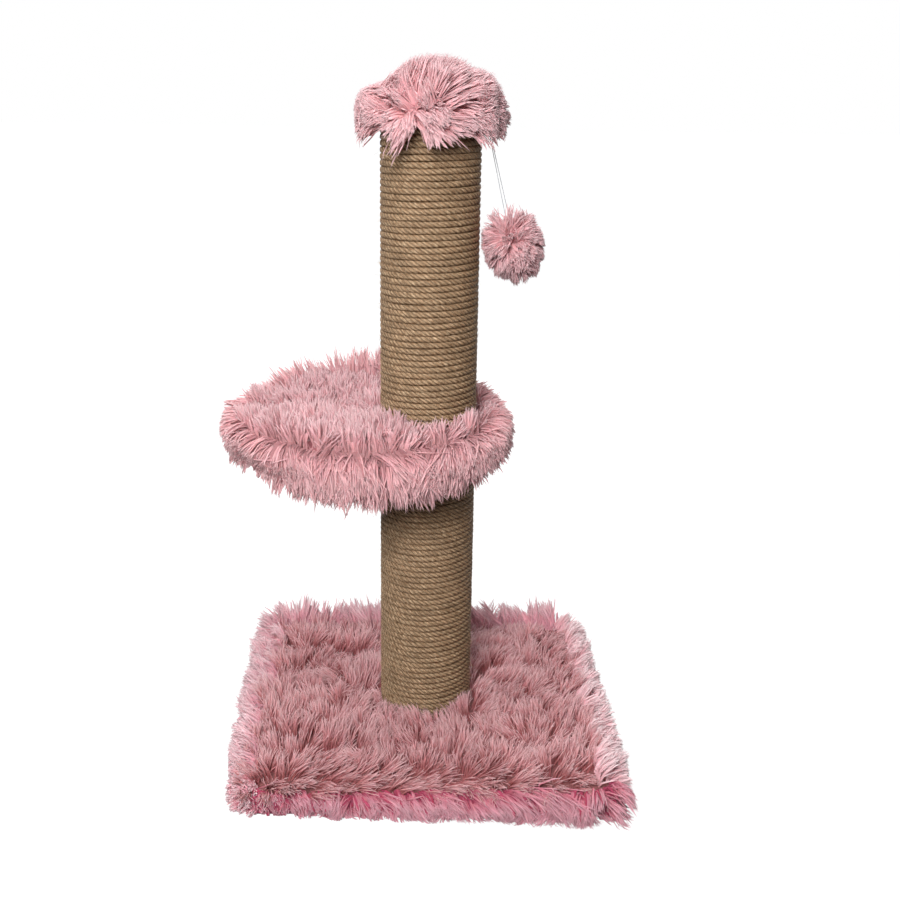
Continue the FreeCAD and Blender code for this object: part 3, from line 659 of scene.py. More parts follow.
def grow(rng, locks, knots, strands, spread, gather, stray, jitter, bend):
    """Strands for every lock: bunched round its root, bending from its start to its finish direction."""
    lock = np.repeat(np.arange(len(locks["root"])), strands)
    normal = locks["normal"][lock]
    count = len(lock)
    aside = unit(np.cross(normal, rng.normal(size=(count, 3))))
    offset = aside * (spread * np.sqrt(rng.uniform(0, 1, count)))[:, None]
    loose = 1 + STRAY_LOOSENESS * (rng.uniform(0, 1, (count, 1)) < stray)
    start = unit(locks["start"][lock] + rng.normal(0, jitter, (count, 3)) * loose)
    finish = unit(locks["finish"][lock] + rng.normal(0, jitter * TIP_LOOSENESS, (count, 3)) * loose)
    length = (locks["length"][lock] * rng.uniform(*LENGTH_SPREAD, count))[:, None]
    middle = start * length * bend
    end = middle + finish * length * (1 - bend)
    t = knots[None, :, None]
    curve = 2 * t * (1 - t) * middle[:, None] + t ** 2 * end[:, None]
    squeeze = 1 - (1 - gather) * t ** GATHER_POWER
    curves = locks["root"][lock][:, None] + offset[:, None] * squeeze + curve
    tint = locks["tint"][lock] + rng.normal(0, TINT_SPREAD, count)
    return curves, np.clip(np.round(tint), 0, TINTS - 1)


def pile_piece(name, rng, locks, finish, knots, strands, spread, width, inside=None, low=None, high=None,
               gather=0.5, stray=0.06, jitter=0.11, bend=0.5, deep=UNDER_PALENESS):
    """Pile on a set of locks: its strands, over shorter wide ones that fill it underneath."""
    curves, tint = grow(rng, locks, knots, strands, spread, gather, stray, jitter, bend)
    short = {**locks, "length": locks["length"] * UNDER_LENGTH}
    under, under_tint = grow(rng, short, knots, UNDER_STRANDS, spread, 1.0, 0, jitter, bend)
    thick = np.concatenate([widths(rng, len(curves), width), widths(rng, len(under), width * UNDER_WIDTH)])
    # The undercoat's lower paleness keeps it nearer the root's colour, partly painted shade deep in the pile
    pale = np.concatenate([np.ones(len(curves)), np.full(len(under), deep)])
    curves = np.concatenate([curves, under])
    if inside:
        curves = trim(curves, inside)
    keep_clear(curves, low, high)
    return strand_piece(name, curves, knots, thick, np.concatenate([tint, under_tint]), pale, finish)


def trim(curves, inside, steps=7):
    """Shorten each strand whose tip leaves the shape, as a barber would."""
    low = np.zeros(len(curves))
    high = np.ones(len(curves))
    out = ~inside(curves[:, -1])
    reach = curves[:, -1] - curves[:, 0]
    for _ in range(steps):
        half = (low + high) / 2
        good = inside(curves[:, 0] + reach * half[:, None])
        low = np.where(good, half, low)
        high = np.where(good, high, half)
    uneven = np.random.default_rng(len(curves)).uniform(TRIM_LEAST, 1.0, len(curves))
    share = np.where(out, np.maximum(low * uneven, SHORTEST_SHARE), 1.0)
    return curves[:, :1] + (curves - curves[:, :1]) * share[:, None, None]


def gathered(parts):
    """Several sets of locks as one."""
    return {key: np.concatenate([part[key] for part in parts]) for key in parts[0]}


def climbing(outward, along, rise, lean):
    """Directions at an angle above the level, swayed along the edge."""
    made = outward * np.cos(rise)[:, None] + along * lean[:, None]
    made[:, 2] += np.sin(rise)
    return unit(made)


def keep_clear(curves, low=None, high=None):
    """Pile lies against the rope, not in it, and stays above the floor."""
    shift = np.hypot(curves[..., 0], curves[..., 1])
    least = POST_RADIUS + ROPE_CLEAR
    inside = shift < least
    if low is not None:
        inside &= curves[..., 2] > low
    if high is not None:
        inside &= curves[..., 2] < high
    push = np.where(inside, least / np.maximum(shift, 1e-6), 1.0)
    curves[..., 0] *= push
    curves[..., 1] *= push
    curves[..., 2] = np.maximum(curves[..., 2], FLOOR_CLEAR)


def smooth_noise(rng, x, y, scale, waves=7):
    """Gentle hills and hollows from a few crossing waves, about -1 to 1."""
    total = np.zeros_like(x)
    for _ in range(waves):
        heading = rng.uniform(0, 2 * math.pi)
        pace = rng.uniform(*HILL_PACES) / scale
        phase = rng.uniform(0, 2 * math.pi)
        total += np.sin((x * math.cos(heading) + y * math.sin(heading)) * pace + phase)
    return total / math.sqrt(waves)


def tuft_fan(rng, x, y, step):
    """Each root's level offset from the middle of its tuft, in tuft widths, and its tuft's own chances."""
    reach = max(np.abs(x).max(), np.abs(y).max()) + step
    ticks = np.arange(-reach, reach, step)
    across, deep = (part.ravel() for part in np.meshgrid(ticks, ticks))
    across = across + rng.uniform(-TUFT_SHIFT, TUFT_SHIFT, across.shape) * step
    deep = deep + rng.uniform(-TUFT_SHIFT, TUFT_SHIFT, deep.shape) * step
    nearest = np.argmin(np.hypot(x[:, None] - across, y[:, None] - deep), axis=1)
    offset = np.stack([x - across[nearest], y - deep[nearest], 0 * x], axis=-1) / step
    return offset, rng.normal(0, 1, (len(across), 3))[nearest]


def widths(rng, count, width):
    """Strand widths about a mean, from wisps to thick ones."""
    return width * rng.uniform(*WIDTH_SPREAD, count)


# Fur of the cap
CAP_LOCKS = 420
CAP_PROFILE = ((0.0495, 0.6142), (0.0553, 0.6142), (0.0562, 0.6175), (0.0562, 0.6230),
               (0.0535, 0.6272), (0.0440, 0.6295), (0.0280, 0.6308), (0.0120, 0.6312))
CAP_WHORL = np.array([-0.016, -0.056, 0.628])
CAP_WHORL_REACH = 0.024
# The cap's outline from the front: distances to the right, and heights there
CAP_ACROSS = (-0.074, -0.071, -0.065, -0.057, -0.039, -0.034, -0.029, -0.021,
              -0.005, 0.012, 0.033, 0.037, 0.057, 0.060, 0.065, 0.070)
CAP_HEIGHTS = (0.620, 0.634, 0.642, 0.647, 0.652, 0.659, 0.665, 0.671,
               0.676, 0.676, 0.671, 0.665, 0.659, 0.653, 0.646, 0.630)
# Longer and shorter places of its fringe: how far to the right, how wide, how much longer
CAP_FRINGE = ((-0.032, 0.010, 0.012), (0.034, 0.014, 0.007), (-0.0125, 0.008, -0.002))
CAP_TOP_SHARE = 0.58
CAP_TOP_RADIUS = 0.0555
CAP_TOP_HEIGHT = 0.6312
CAP_TOP_DROP = 0.0065
CAP_TOP_LENGTH = 0.060
CAP_SIDE_RADIUS = 0.0562
CAP_SIDE_HEIGHT = 0.6255
CAP_SIDE_DROP = 0.0125
CAP_SIDE_LENGTH = 0.028
CAP_FRONT_LENGTH = 0.021
# How far the cloth tilts outward, in radians: at the top's edge, then down its side
CAP_TOP_TILT = 1.1
CAP_SIDE_TILT = 1.15
CAP_SIDE_TURN = 0.35
CAP_STEEPEST = 1.5
# Angles of the pile off the cloth at root and tip, in degrees, and how much less on a slope
CAP_LIFT = 80
CAP_SLOPE_LIFT = 36
CAP_FALL = 22
CAP_SLOPE_FALL = 10
CAP_WHORL_FALL = 16
CAP_TINT = 22
CAP_HILLS = 0.010
CAP_PILE_EDGE = 0.0715
CAP_RIPPLES = ((0.0022, 7, 1.0), (0.0016, 17, 0))
CAP_PILE_FLOOR = 0.601
CAP_PILE_MIDDLE = 0.628
CAP_REST = 0.612


def leaning(normal, flow, lift):
    """Directions lifted off a surface by an angle, along a flow."""
    return normal * np.sin(lift)[:, None] + flow * np.cos(lift)[:, None]


def combed_from(rng, root, normal, whorl, mess):
    """Directions on the surface away from a whorl."""
    away = root - whorl
    away = unit(away - normal * np.sum(away * normal, axis=1, keepdims=True))
    flow = away + rng.normal(0, mess, away.shape)
    return unit(flow - normal * np.sum(flow * normal, axis=1, keepdims=True))


def cap_roots(rng):
    """Places all over the cap: root, normal, outward direction, tilt, and whether it is on top."""
    share = (np.arange(CAP_LOCKS) + 0.5) / CAP_LOCKS
    turn = np.arange(CAP_LOCKS) * GOLDEN_ANGLE + rng.uniform(-0.25, 0.25, CAP_LOCKS)
    top = share < CAP_TOP_SHARE
    radius = np.where(top, CAP_TOP_RADIUS * np.sqrt(share / CAP_TOP_SHARE), CAP_SIDE_RADIUS)
    out = radius / CAP_TOP_RADIUS
    drop = ease(share, CAP_TOP_SHARE, 1 - CAP_TOP_SHARE)
    outward = flat_flow(turn)
    root = outward * radius[:, None]
    top_height = CAP_TOP_HEIGHT - CAP_TOP_DROP * out ** 4
    root[:, 2] = np.where(top, top_height, CAP_SIDE_HEIGHT - CAP_SIDE_DROP * drop)
    tilt = np.where(top, out ** 3 * CAP_TOP_TILT, CAP_SIDE_TILT + CAP_SIDE_TURN * drop)
    normal = outward * np.sin(tilt)[:, None]
    normal[:, 2] = np.cos(tilt)
    return root, normal, outward, tilt, top


def cap_locks(rng):
    """Locks all over the cap, combed away from a whorl on its front."""
    root, normal, outward, tilt, top = cap_roots(rng)
    flow = combed_from(rng, root, normal, CAP_WHORL, 0.26)
    bent = combed_from(rng, root, normal, CAP_WHORL, 0.75)
    x = root[:, 0]
    ahead = np.clip(-outward[:, 1], 0, 1)
    near = bell(np.linalg.norm(root - CAP_WHORL, axis=1), 0, CAP_WHORL_REACH)
    slope = tilt / CAP_STEEPEST
    lift = np.radians(CAP_LIFT - CAP_SLOPE_LIFT * slope) + rng.normal(0, 0.16, CAP_LOCKS)
    fall = np.radians(CAP_FALL - CAP_SLOPE_FALL * slope + CAP_WHORL_FALL * near)
    fall = fall + rng.normal(0, 0.22, CAP_LOCKS)
    sag = np.where(top, 0.04, 0.06 + 0.8 * ahead)
    fringe = sum(more * bell(x, right, width) for right, width, more in CAP_FRINGE)
    length = np.where(top, CAP_TOP_LENGTH, CAP_SIDE_LENGTH + (CAP_FRONT_LENGTH + fringe) * ahead)
    length = length + rng.uniform(-LOCK_PLAY, LOCK_PLAY, CAP_LOCKS)
    hills = smooth_noise(rng, x, root[:, 1] + root[:, 2], CAP_HILLS)
    return {
        "root": root, "normal": normal, "start": leaning(normal, flow, lift),
        "finish": unit(leaning(normal, bent, fall) + GRAVITY * sag[:, None]),
        "length": length, "tint": CAP_TINT + 9 * hills + rng.normal(0, 6, CAP_LOCKS),
    }


def in_cap(points):
    """The cap's puffed shape: a tall tuft, and a lower lobe on its left."""
    x, y, z = points.T
    turn = np.arctan2(y, x)
    behind = ease(y, 0, 0.05, 1.4)
    edge = CAP_PILE_EDGE + ripples(turn, CAP_RIPPLES)
    edge = edge - 0.012 * behind * ((z - CAP_PILE_MIDDLE) / 0.03) ** 2
    ceiling = np.interp(x, CAP_ACROSS, CAP_HEIGHTS) - 0.009 * (y / 0.06) ** 2 - 0.008 * behind ** 2
    over_line = ease(x, 0.045, 0.01) * bell(y, 0, 0.02)
    floor = CAP_PILE_FLOOR - 0.03 * ease(-y, 0, 0.05) + 0.009 * over_line
    return (np.hypot(x, y) < edge) & (z < ceiling) & (z > floor)


def cap_fur(finish):
    """The cap's long pile."""
    rng = np.random.default_rng(11)
    locks = cap_locks(rng)
    return pile_piece("cap_pile", rng, locks, finish, LONG_KNOTS, strands=26, spread=0.0056, width=0.0013,
                      inside=in_cap, high=CAP_REST, gather=0.8, stray=0.02, deep=1.0)


# Fur of the ball
BALL_LOCKS = 230
BALL_WHORL = np.array([0.064, -0.022, 0.5218])
BALL_ACROSS = 0.0313
BALL_ABOVE = 0.0430
BALL_BELOW = 0.0395
BALL_RIPPLES = ((0.05, 5, 0.6), (0.05, 11, 0), (0.04, 23, 0))
BALL_ROOT = 0.0006
BALL_LENGTH = 0.0295
BALL_SAG = 0.2
BALL_LIFT = 60
BALL_FALL = 36
BALL_TINT = 18
# How near the line the pile may come, and how near its neck it may grow, as a cosine
BALL_PARTING = 0.0034
BALL_NECK = -0.94


def in_ball(points):
    """The ball's shape, a little longer along its line."""
    away = points - BALL_CENTRE
    along = away @ TOY_AXIS
    across = np.linalg.norm(away - along[:, None] * TOY_AXIS, axis=1)
    turn = np.arctan2(away[:, 0], away[:, 2])
    ragged = 1 + ripples(turn, BALL_RIPPLES)
    upper = np.where(along < 0, BALL_ABOVE, BALL_BELOW) * ragged
    beside_line = (along > -CORE_RADIUS) | (across > BALL_PARTING)
    return ((along / upper) ** 2 + (across / BALL_ACROSS) ** 2 < 1) & beside_line


def ball_fur(finish):
    """Pile all round the ball, combed away from a whorl at its front."""
    rng = np.random.default_rng(23)
    index = np.arange(BALL_LOCKS)
    rise = 1 - 2 * (index + 0.5) / BALL_LOCKS
    ring = np.sqrt(1 - rise ** 2)
    normal = flat_flow(index * GOLDEN_ANGLE) * ring[:, None]
    normal[:, 2] = rise
    normal = normal[normal @ TOY_AXIS > BALL_NECK]
    count = len(normal)
    root = BALL_CENTRE + normal * (CORE_RADIUS + BALL_ROOT)
    flow = combed_from(rng, root, normal, BALL_WHORL, 0.4)
    bent = combed_from(rng, root, normal, BALL_WHORL, 0.7)
    lift = np.radians(BALL_LIFT) + rng.normal(0, 0.2, count)
    fall = np.radians(BALL_FALL) + rng.normal(0, 0.24, count)
    locks = {
        "root": root, "normal": normal, "start": leaning(normal, flow, lift),
        "finish": unit(leaning(normal, bent, fall) + GRAVITY * BALL_SAG),
        "length": BALL_LENGTH + rng.uniform(-LOCK_PLAY, LOCK_PLAY, count),
        "tint": BALL_TINT + rng.normal(0, 8, count),
    }
    return pile_piece("ball_pile", rng, locks, finish, LONG_KNOTS, strands=20, spread=0.0028, width=0.0012,
                      inside=in_ball, stray=0.08)


# Fur of the shelf
SHELF_TOP_PROFILE = ((0.1222, 0.3257), (0.1180, 0.3260), (0.0900, 0.3260), (0.0500, 0.3260), (0.0200, 0.3260))
SHELF_RIM_PROFILE = ((0.0935, 0.3082), (0.1180, 0.3080), (0.1232, 0.3085), (0.1246, 0.3105), (0.1250, 0.3170),
                     (0.1246, 0.3235), (0.1232, 0.3262))
SHELF_LINING_PROFILE = ((0.0925, 0.3081), (0.0850, 0.3083), (0.0500, 0.3083), (0.0150, 0.3083))
SHELF_LOCKS = 560
SHELF_TUFT = 0.017
SHELF_HILLS = 0.011
SHELF_SELVEDGE = 0.001
SHELF_LENGTH = 0.0240
SHELF_TINT = 32
# Angles of the pile off the cloth at root and tip, and which way it lies, in degrees
SHELF_LIFT = 62
SHELF_FALL = 36
SHELF_HEADING = 94
SHELF_LEFT_TURN = 30
SHELF_RIGHT_TURN = 52
# How near the post the pile on its right is shorter
SHELF_POST_REACH = 0.022
RIM_COLUMNS = 112
# Radius, height, length, then the rise of root and tip in front and behind, in degrees
RIM_ROWS = (
    (0.1215, 0.3270, 0.070, -4, -98, 76, 66), (0.1232, 0.3258, 0.066, -10, -96, 64, 50),
    (0.1246, 0.3230, 0.060, -18, -94, 46, 30), (0.1252, 0.3190, 0.051, -26, -92, 30, 8),
    (0.1252, 0.3145, 0.043, -36, -90, 12, -14), (0.1245, 0.3100, 0.035, -48, -90, -6, -30),
)
RIM_EDGE = 0.1480
RIM_RIPPLES = ((0.0014, 13, 0), (0.0012, 31, 2))
RIM_MIDDLE = 0.312
RIM_BEND = 0.42
RIM_WAVES = 0.16
RIM_SWAYS = 0.12
RIM_TINT = 33
# How much paler the rim's pile is on its left: painted light
RIM_LEFT_PAINTED_LIGHT = 18
RIM_SIDES = 0.43
RIM_SIDE_LENGTH = 0.54
RIM_BACK_LENGTH = 0.62


def shelf_roots(rng):
    """Places all over the shelf, beside the post."""
    index = np.arange(SHELF_LOCKS)
    radius = (SHELF_RADIUS - SHELF_SELVEDGE) * np.sqrt((index + 0.5) / SHELF_LOCKS)
    turn = index * GOLDEN_ANGLE + rng.uniform(-0.2, 0.2, SHELF_LOCKS)
    x = SHELF_CENTRE[0] + radius * np.cos(turn)
    y = SHELF_CENTRE[1] + radius * np.sin(turn)
    free = np.hypot(x, y) > POST_RADIUS + POST_GAP
    return x[free], y[free]


def shelf_top_fur(finish):
    """Shorter tufted pile on the shelf, leaning back and away from the post."""
    rng = np.random.default_rng(37)
    x, y = shelf_roots(rng)
    count = len(x)
    hills = smooth_noise(rng, x, y, SHELF_HILLS)
    left = ease(-x, 0.09, 0.06)
    right = ease(x, -0.005, 0.055)
    heading = np.radians(SHELF_HEADING) + np.radians(SHELF_LEFT_TURN) * left
    heading = heading - np.radians(SHELF_RIGHT_TURN) * right
    flow = flat_flow(heading + 0.7 * hills + rng.normal(0, 0.4, count))
    normal = np.tile(UPWARD, (count, 1))
    front = ease(-y, 0, 0.08)
    behind = ease(y, 0.05, 0.08)
    lift = np.radians(SHELF_LIFT) + np.radians(10) * behind + 0.24 * hills + rng.normal(0, 0.16, count)
    fall = np.radians(SHELF_FALL) + np.radians(14) * np.maximum(front, behind) + 0.28 * hills
    fall = fall + rng.normal(0, 0.18, count)
    against = np.clip(1 - (np.hypot(x, y) - POST_RADIUS) / SHELF_POST_REACH, 0, 1) * right
    offset, chance = tuft_fan(rng, x, y, SHELF_TUFT)
    length = SHELF_LENGTH + 0.006 * front + 0.010 * behind + 0.003 * hills
    locks = {
        "root": np.stack([x, y, np.full(count, SHELF_CLOTH)], axis=-1), "normal": normal,
        "start": leaning(normal, flow, lift), "finish": unit(leaning(normal, flow, fall) + 0.8 * offset),
        "length": length + 0.002 * chance[:, 0] - 0.014 * against,
        "tint": SHELF_TINT + 7 * hills + 6 * chance[:, 1] + rng.normal(0, 5, count),
    }
    return pile_piece("shelf_top_pile", rng, locks, finish, LONG_KNOTS, strands=18, spread=0.0055,
                      width=0.0014, low=UPPER_FOOT - POST_GAP, gather=0.7, jitter=0.15)


def in_rim(points):
    """The rim's rounded shape, wider at the middle of its height."""
    x = points[:, 0] - SHELF_CENTRE[0]
    y = points[:, 1] - SHELF_CENTRE[1]
    z = points[:, 2]
    turn = np.arctan2(y, x)
    edge = RIM_EDGE + ripples(turn, RIM_RIPPLES)
    low = ease(-z, -0.320, 0.02)
    edge = edge - 0.016 * low * bell(turn, -2.4, 0.6) - 0.005 * bell(turn, 2.5, 0.35)
    bulge = 0.0025 * ease(np.abs(z - RIM_MIDDLE), 0, 0.035, 1.3) ** 2
    return np.hypot(x, y) < edge - bulge


def rim_locks(rng, first, last):
    """Locks round part of the shelf's edge, in rows from the parting down; behind, they stand up."""
    parts = []
    for order, (radius, height, length, rise, droop, rise_behind, droop_behind) in enumerate(RIM_ROWS):
        columns = np.arange(first, last) + 0.5 * (order % 2)
        turn = 2 * math.pi * (columns + rng.uniform(-0.35, 0.35, len(columns))) / RIM_COLUMNS
        count = len(turn)
        outward = flat_flow(turn)
        along = flat_flow(turn + math.pi / 2)
        root = outward * (radius + rng.uniform(-0.003, 0.001, count))[:, None]
        root[:, :2] += SHELF_CENTRE
        root[:, 2] = height + rng.uniform(-0.0015, 0.0015, count)
        back = np.sin(turn)
        # The rim's pile is made paler towards its left as painted light
        painted_left_light = np.clip(-np.cos(turn), 0, 1)
        rising = RIM_SIDES + (1 - RIM_SIDES) * np.clip(back, 0, 1) ** 1.3
        behind = np.where(back > 0, rising, RIM_SIDES * np.clip(1 + back, 0, 1) ** 0.8)
        fullest = np.where(back > 0, RIM_BACK_LENGTH, 1.0)
        reach = length * (RIM_SIDE_LENGTH + (fullest - RIM_SIDE_LENGTH) * np.abs(back) ** 1.4)
        wave = smooth_noise(rng, turn, 0 * turn, RIM_WAVES) * (1 - 0.7 * behind)
        root_rise = np.radians(rise + (rise_behind - rise) * behind)
        root_rise = root_rise + 0.16 * wave + rng.normal(0, 0.2, count)
        tip_rise = np.radians(droop + (droop_behind - droop) * behind)
        tip_rise = tip_rise + 0.2 * wave + rng.normal(0, 0.14, count)
        sway = 0.3 * smooth_noise(rng, turn, 0 * turn, RIM_SWAYS) + rng.normal(0, 0.14, count)
        parts.append({
            "root": root, "normal": outward,
            "start": climbing(outward, along, root_rise, sway),
            "finish": climbing(outward, along, tip_rise, sway * 1.5),
            "length": reach + rng.uniform(-EDGE_PLAY, EDGE_PLAY, count) + 0.002 * wave,
            "tint": RIM_TINT + 6 * wave + RIM_LEFT_PAINTED_LIGHT * painted_left_light ** 2 + rng.normal(0, 5, count),
        })
    return gathered(parts)


def rim_fur(name, first, last, seed, finish):
    """Half of the shelf's long fringe."""
    rng = np.random.default_rng(seed)
    locks = rim_locks(rng, first, last)
    return pile_piece(name, rng, locks, finish, FINE_KNOTS, strands=18, spread=0.0050, width=0.0015,
                      inside=in_rim, gather=0.7, bend=RIM_BEND, deep=0.25)


# Fur of the base
BASE_BAND_PROFILE = ((0.1455, 0.0008), (0.1745, 0.0007), (0.1765, 0.0016), (0.1776, 0.0050), (0.1776, 0.0140),
                     (0.1762, 0.0180), (0.1742, 0.0196))
PANEL_STEP = 0.0104
PANEL_LEFT = -0.168
PANEL_RIGHT = 0.162
PANEL_FRONT = -0.173
PANEL_BACK = 0.163
PANEL_TUFT = 0.026
PANEL_LENGTH = 0.0305
PANEL_HILLS = 0.012
PANEL_TINT = 38
# Angle of the pile off the cloth at its root, in degrees, and how much less in a hollow,
# over the front edge, and at the tip; then its least and most in radians
PANEL_LIFT = 60
PANEL_HOLLOW_LIFT = 24
PANEL_OVER_LIFT = 22
PANEL_TIP_LIFT = 24
PANEL_LIFTS = (0.25, 1.4)
PANEL_OVERHANG = 0.014
PANEL_RIPPLES = ((0.0025, 140, 0), (0.002, 310, 1))
# How far the roots of a tuft are drawn to its middle, and how far each brushed place reaches
TUFT_PULL = 0.18
COMBING_REACH = 0.012
BAND_STEP = 0.0088
BAND_HALF = 0.1775
BAND_CORNER = 0.022
BAND_STRAIGHT = 2 * (BAND_HALF - BAND_CORNER)
BAND_BEND = math.pi / 2 * BAND_CORNER
BAND_SPAN = BAND_STRAIGHT + BAND_BEND
BAND_REACH = 0.1945
BAND_RIPPLE = 0.0018
BAND_HILLS = 0.010
BAND_SWAYS = 0.008
BAND_TINT = 32
CORNER_FRONT_LEFT = 0.074
CORNER_FRONT_RIGHT = 0.030
CORNER_BEHIND = 0.036
# Reach past the edge, height, length, then the rise of root and tip, in degrees
BAND_ROWS = (
    (-0.0150, 0.0197, 0.033, 64, 6), (-0.0065, 0.0195, 0.032, 54, 6), (-0.0020, 0.0190, 0.033, 46, 2),
    (0.0008, 0.0150, 0.033, 22, -14), (0.0010, 0.0098, 0.031, 4, -20), (0.0006, 0.0048, 0.027, -12, -14),
)
BACK_ROWS = (
    (-0.0085, 0.0195, 0.044, 90, 14), (-0.0040, 0.0193, 0.043, 78, 14), (-0.0005, 0.0180, 0.040, 62, 16),
    (0.0010, 0.0110, 0.038, 42, 6), (0.0006, 0.0050, 0.030, 16, -4),
)
FRONT_ROWS = (
    (-0.0045, 0.0197, 0.043, 40, -66), (-0.0010, 0.0190, 0.039, 20, -74), (0.0008, 0.0155, 0.031, 4, -78),
    (0.0010, 0.0110, 0.023, -8, -80), (0.0006, 0.0060, 0.015, -24, -70),
)
# Places on the panel, and which way its pile is brushed there, in degrees from the right
COMBING = (
    (-0.160, 0.110, 118), (-0.120, 0.100, 70), (-0.080, 0.110, 52), (-0.060, 0.060, 38),
    (-0.150, 0.040, 112), (-0.110, 0.035, 88), (-0.070, 0.020, 92), (-0.155, -0.010, 106),
    (-0.110, 0.000, 80), (-0.165, -0.070, 146), (-0.138, -0.060, 92), (-0.115, -0.080, 48),
    (-0.070, -0.080, 96), (-0.095, -0.130, 28), (-0.150, -0.130, 100), (-0.165, -0.165, 205),
    (-0.045, -0.110, 88), (-0.015, -0.080, 90), (-0.025, -0.150, 62), (0.015, -0.060, 96),
    (0.045, -0.010, 78), (0.050, 0.040, 72), (0.090, 0.080, 34), (0.118, 0.062, 90),
    (0.145, 0.050, 50), (0.150, 0.120, 40), (0.060, 0.140, 46), (0.110, -0.005, 14),
    (0.155, -0.010, 26), (0.130, -0.055, 58), (0.160, -0.070, 94), (0.090, -0.070, 92),
    (0.040, -0.090, 104), (0.105, -0.135, 6), (0.160, -0.125, 54), (0.070, -0.165, 2),
    (0.150, -0.165, -12), (0.025, -0.165, 38), (-0.100, 0.160, 80), (0.000, 0.150, 70),
)
# Hollows of the panel's pile, lower and shorter there and darkened with painted shade: their places, half
# widths and half depths
HOLLOWS = (
    (-0.147, 0.090, 0.030, 0.022), (-0.118, 0.044, 0.030, 0.016), (-0.160, 0.032, 0.020, 0.014),
    (-0.095, 0.085, 0.024, 0.018), (-0.088, 0.135, 0.030, 0.014), (-0.100, -0.037, 0.018, 0.012),
    (0.086, 0.158, 0.040, 0.012), (0.149, 0.137, 0.016, 0.016), (0.110, 0.036, 0.020, 0.022),
    (0.109, -0.028, 0.024, 0.014), (0.044, -0.058, 0.018, 0.012), (0.134, -0.136, 0.022, 0.012),
    (-0.124, -0.093, 0.020, 0.012), (-0.073, -0.120, 0.024, 0.010), (-0.024, -0.145, 0.030, 0.010),
    (0.074, -0.092, 0.024, 0.012),
)


def panel_hollow(x, y):
    """How far each place on the panel lies in a hollow, 0 to 1."""
    total = np.zeros_like(x)
    for across, deep, width, depth in HOLLOWS:
        total += np.exp(-((x - across) / width) ** 2 - ((y - deep) / depth) ** 2)
    return np.clip(total, 0, 1)


def panel_heading(rng, x, y, hills):
    """Which way the panel's pile lies, between the places where it is known."""
    known = np.array(COMBING)
    gap = np.hypot(x[:, None] - known[:, 0], y[:, None] - known[:, 1])
    weight = 1 / (gap ** 3 + COMBING_REACH ** 3)
    angle = np.radians(known[:, 2])
    heading = np.arctan2((weight * np.sin(angle)).sum(1), (weight * np.cos(angle)).sum(1))
    return heading + 0.3 * hills + rng.normal(0, 0.12, len(x))


def in_panel(points):
    """The panel's pile ends a little past its seams at the sides."""
    x, y = points[:, 0], points[:, 1]
    ripple = ripples(y, PANEL_RIPPLES)
    return (x > PANEL_LEFT - PANEL_OVERHANG + ripple) & (x < PANEL_RIGHT + PANEL_OVERHANG + ripple)


def panel_roots(rng, side):
    """Places on one half of the panel, beside the post."""
    across = np.arange(PANEL_LEFT + PANEL_STEP / 2, PANEL_RIGHT, PANEL_STEP)
    deep = np.arange(PANEL_FRONT + PANEL_STEP / 2, PANEL_BACK, PANEL_STEP)
    x, y = (part.ravel() for part in np.meshgrid(across, deep))
    x = x + rng.uniform(-0.5, 0.5, x.shape) * PANEL_STEP
    y = y + rng.uniform(-0.5, 0.5, y.shape) * PANEL_STEP
    keep = (np.hypot(x, y) > POST_RADIUS + POST_GAP) & (x * side > 0)
    return x[keep], y[keep]


def panel_fur(name, side, seed, finish):
    """Half of the base's dusky panel: uneven tufts, brushed this way and that."""
    rng = np.random.default_rng(seed)
    x, y = panel_roots(rng, side)
    count = len(x)
    hills = smooth_noise(rng, x * 0.6, y, PANEL_HILLS)
    offset, chance = tuft_fan(rng, x, y, PANEL_TUFT)
    edge = np.minimum(np.linalg.norm(offset, axis=1) * 1.7, 1) ** 2
    x = x - TUFT_PULL * PANEL_TUFT * offset[:, 0]
    y = y - TUFT_PULL * PANEL_TUFT * offset[:, 1]
    over = ease(-y, 0.140, 0.025)
    ahead = np.radians(-48 - 80 * ease(-x, 0.13, 0.03))
    flow = flat_flow(panel_heading(rng, x, y, hills) + 0.6 * chance[:, 0])
    flow = unit(flow * (1 - over)[:, None] + flat_flow(ahead + 0.5 * chance[:, 0]) * over[:, None])
    normal = np.tile(UPWARD, (count, 1))
    hollow = panel_hollow(x, y)
    lift = PANEL_LIFT - PANEL_HOLLOW_LIFT * hollow + 9 * chance[:, 1] - PANEL_OVER_LIFT * over
    lift = np.radians(lift) + 0.2 * hills
    lift = np.clip(lift + rng.normal(0, 0.1, count), *PANEL_LIFTS)
    fall = lift - np.radians(PANEL_TIP_LIFT) + rng.normal(0, 0.16, count)
    fall = fall - np.radians(PANEL_OVER_LIFT) * over
    pale = ease(-x, 0.02, 0.10) * ease(y, -0.10, 0.08)
    locks = {
        "root": np.stack([x, y, np.full(count, BASE_CLOTH)], axis=-1), "normal": normal,
        "start": leaning(normal, flow, lift), "finish": unit(leaning(normal, flow, fall) + 0.9 * offset),
        "length": PANEL_LENGTH - 0.004 * hollow + 0.0025 * hills + 0.0025 * chance[:, 2] - 0.006 * edge,
        # Tints are darker in hollows and at the edges of tufts, painted shade there, and paler towards the
        # left back
        "tint": PANEL_TINT - 10 * hollow + 6 * hills + 8 * chance[:, 1] - 18 * edge + 20 * pale,
    }
    return pile_piece(name, rng, locks, finish, LONG_KNOTS, strands=21, spread=0.0058, width=0.0009,
                      inside=in_panel, low=LOWER_FOOT - POST_GAP, gather=0.8, stray=0.1, jitter=0.17)


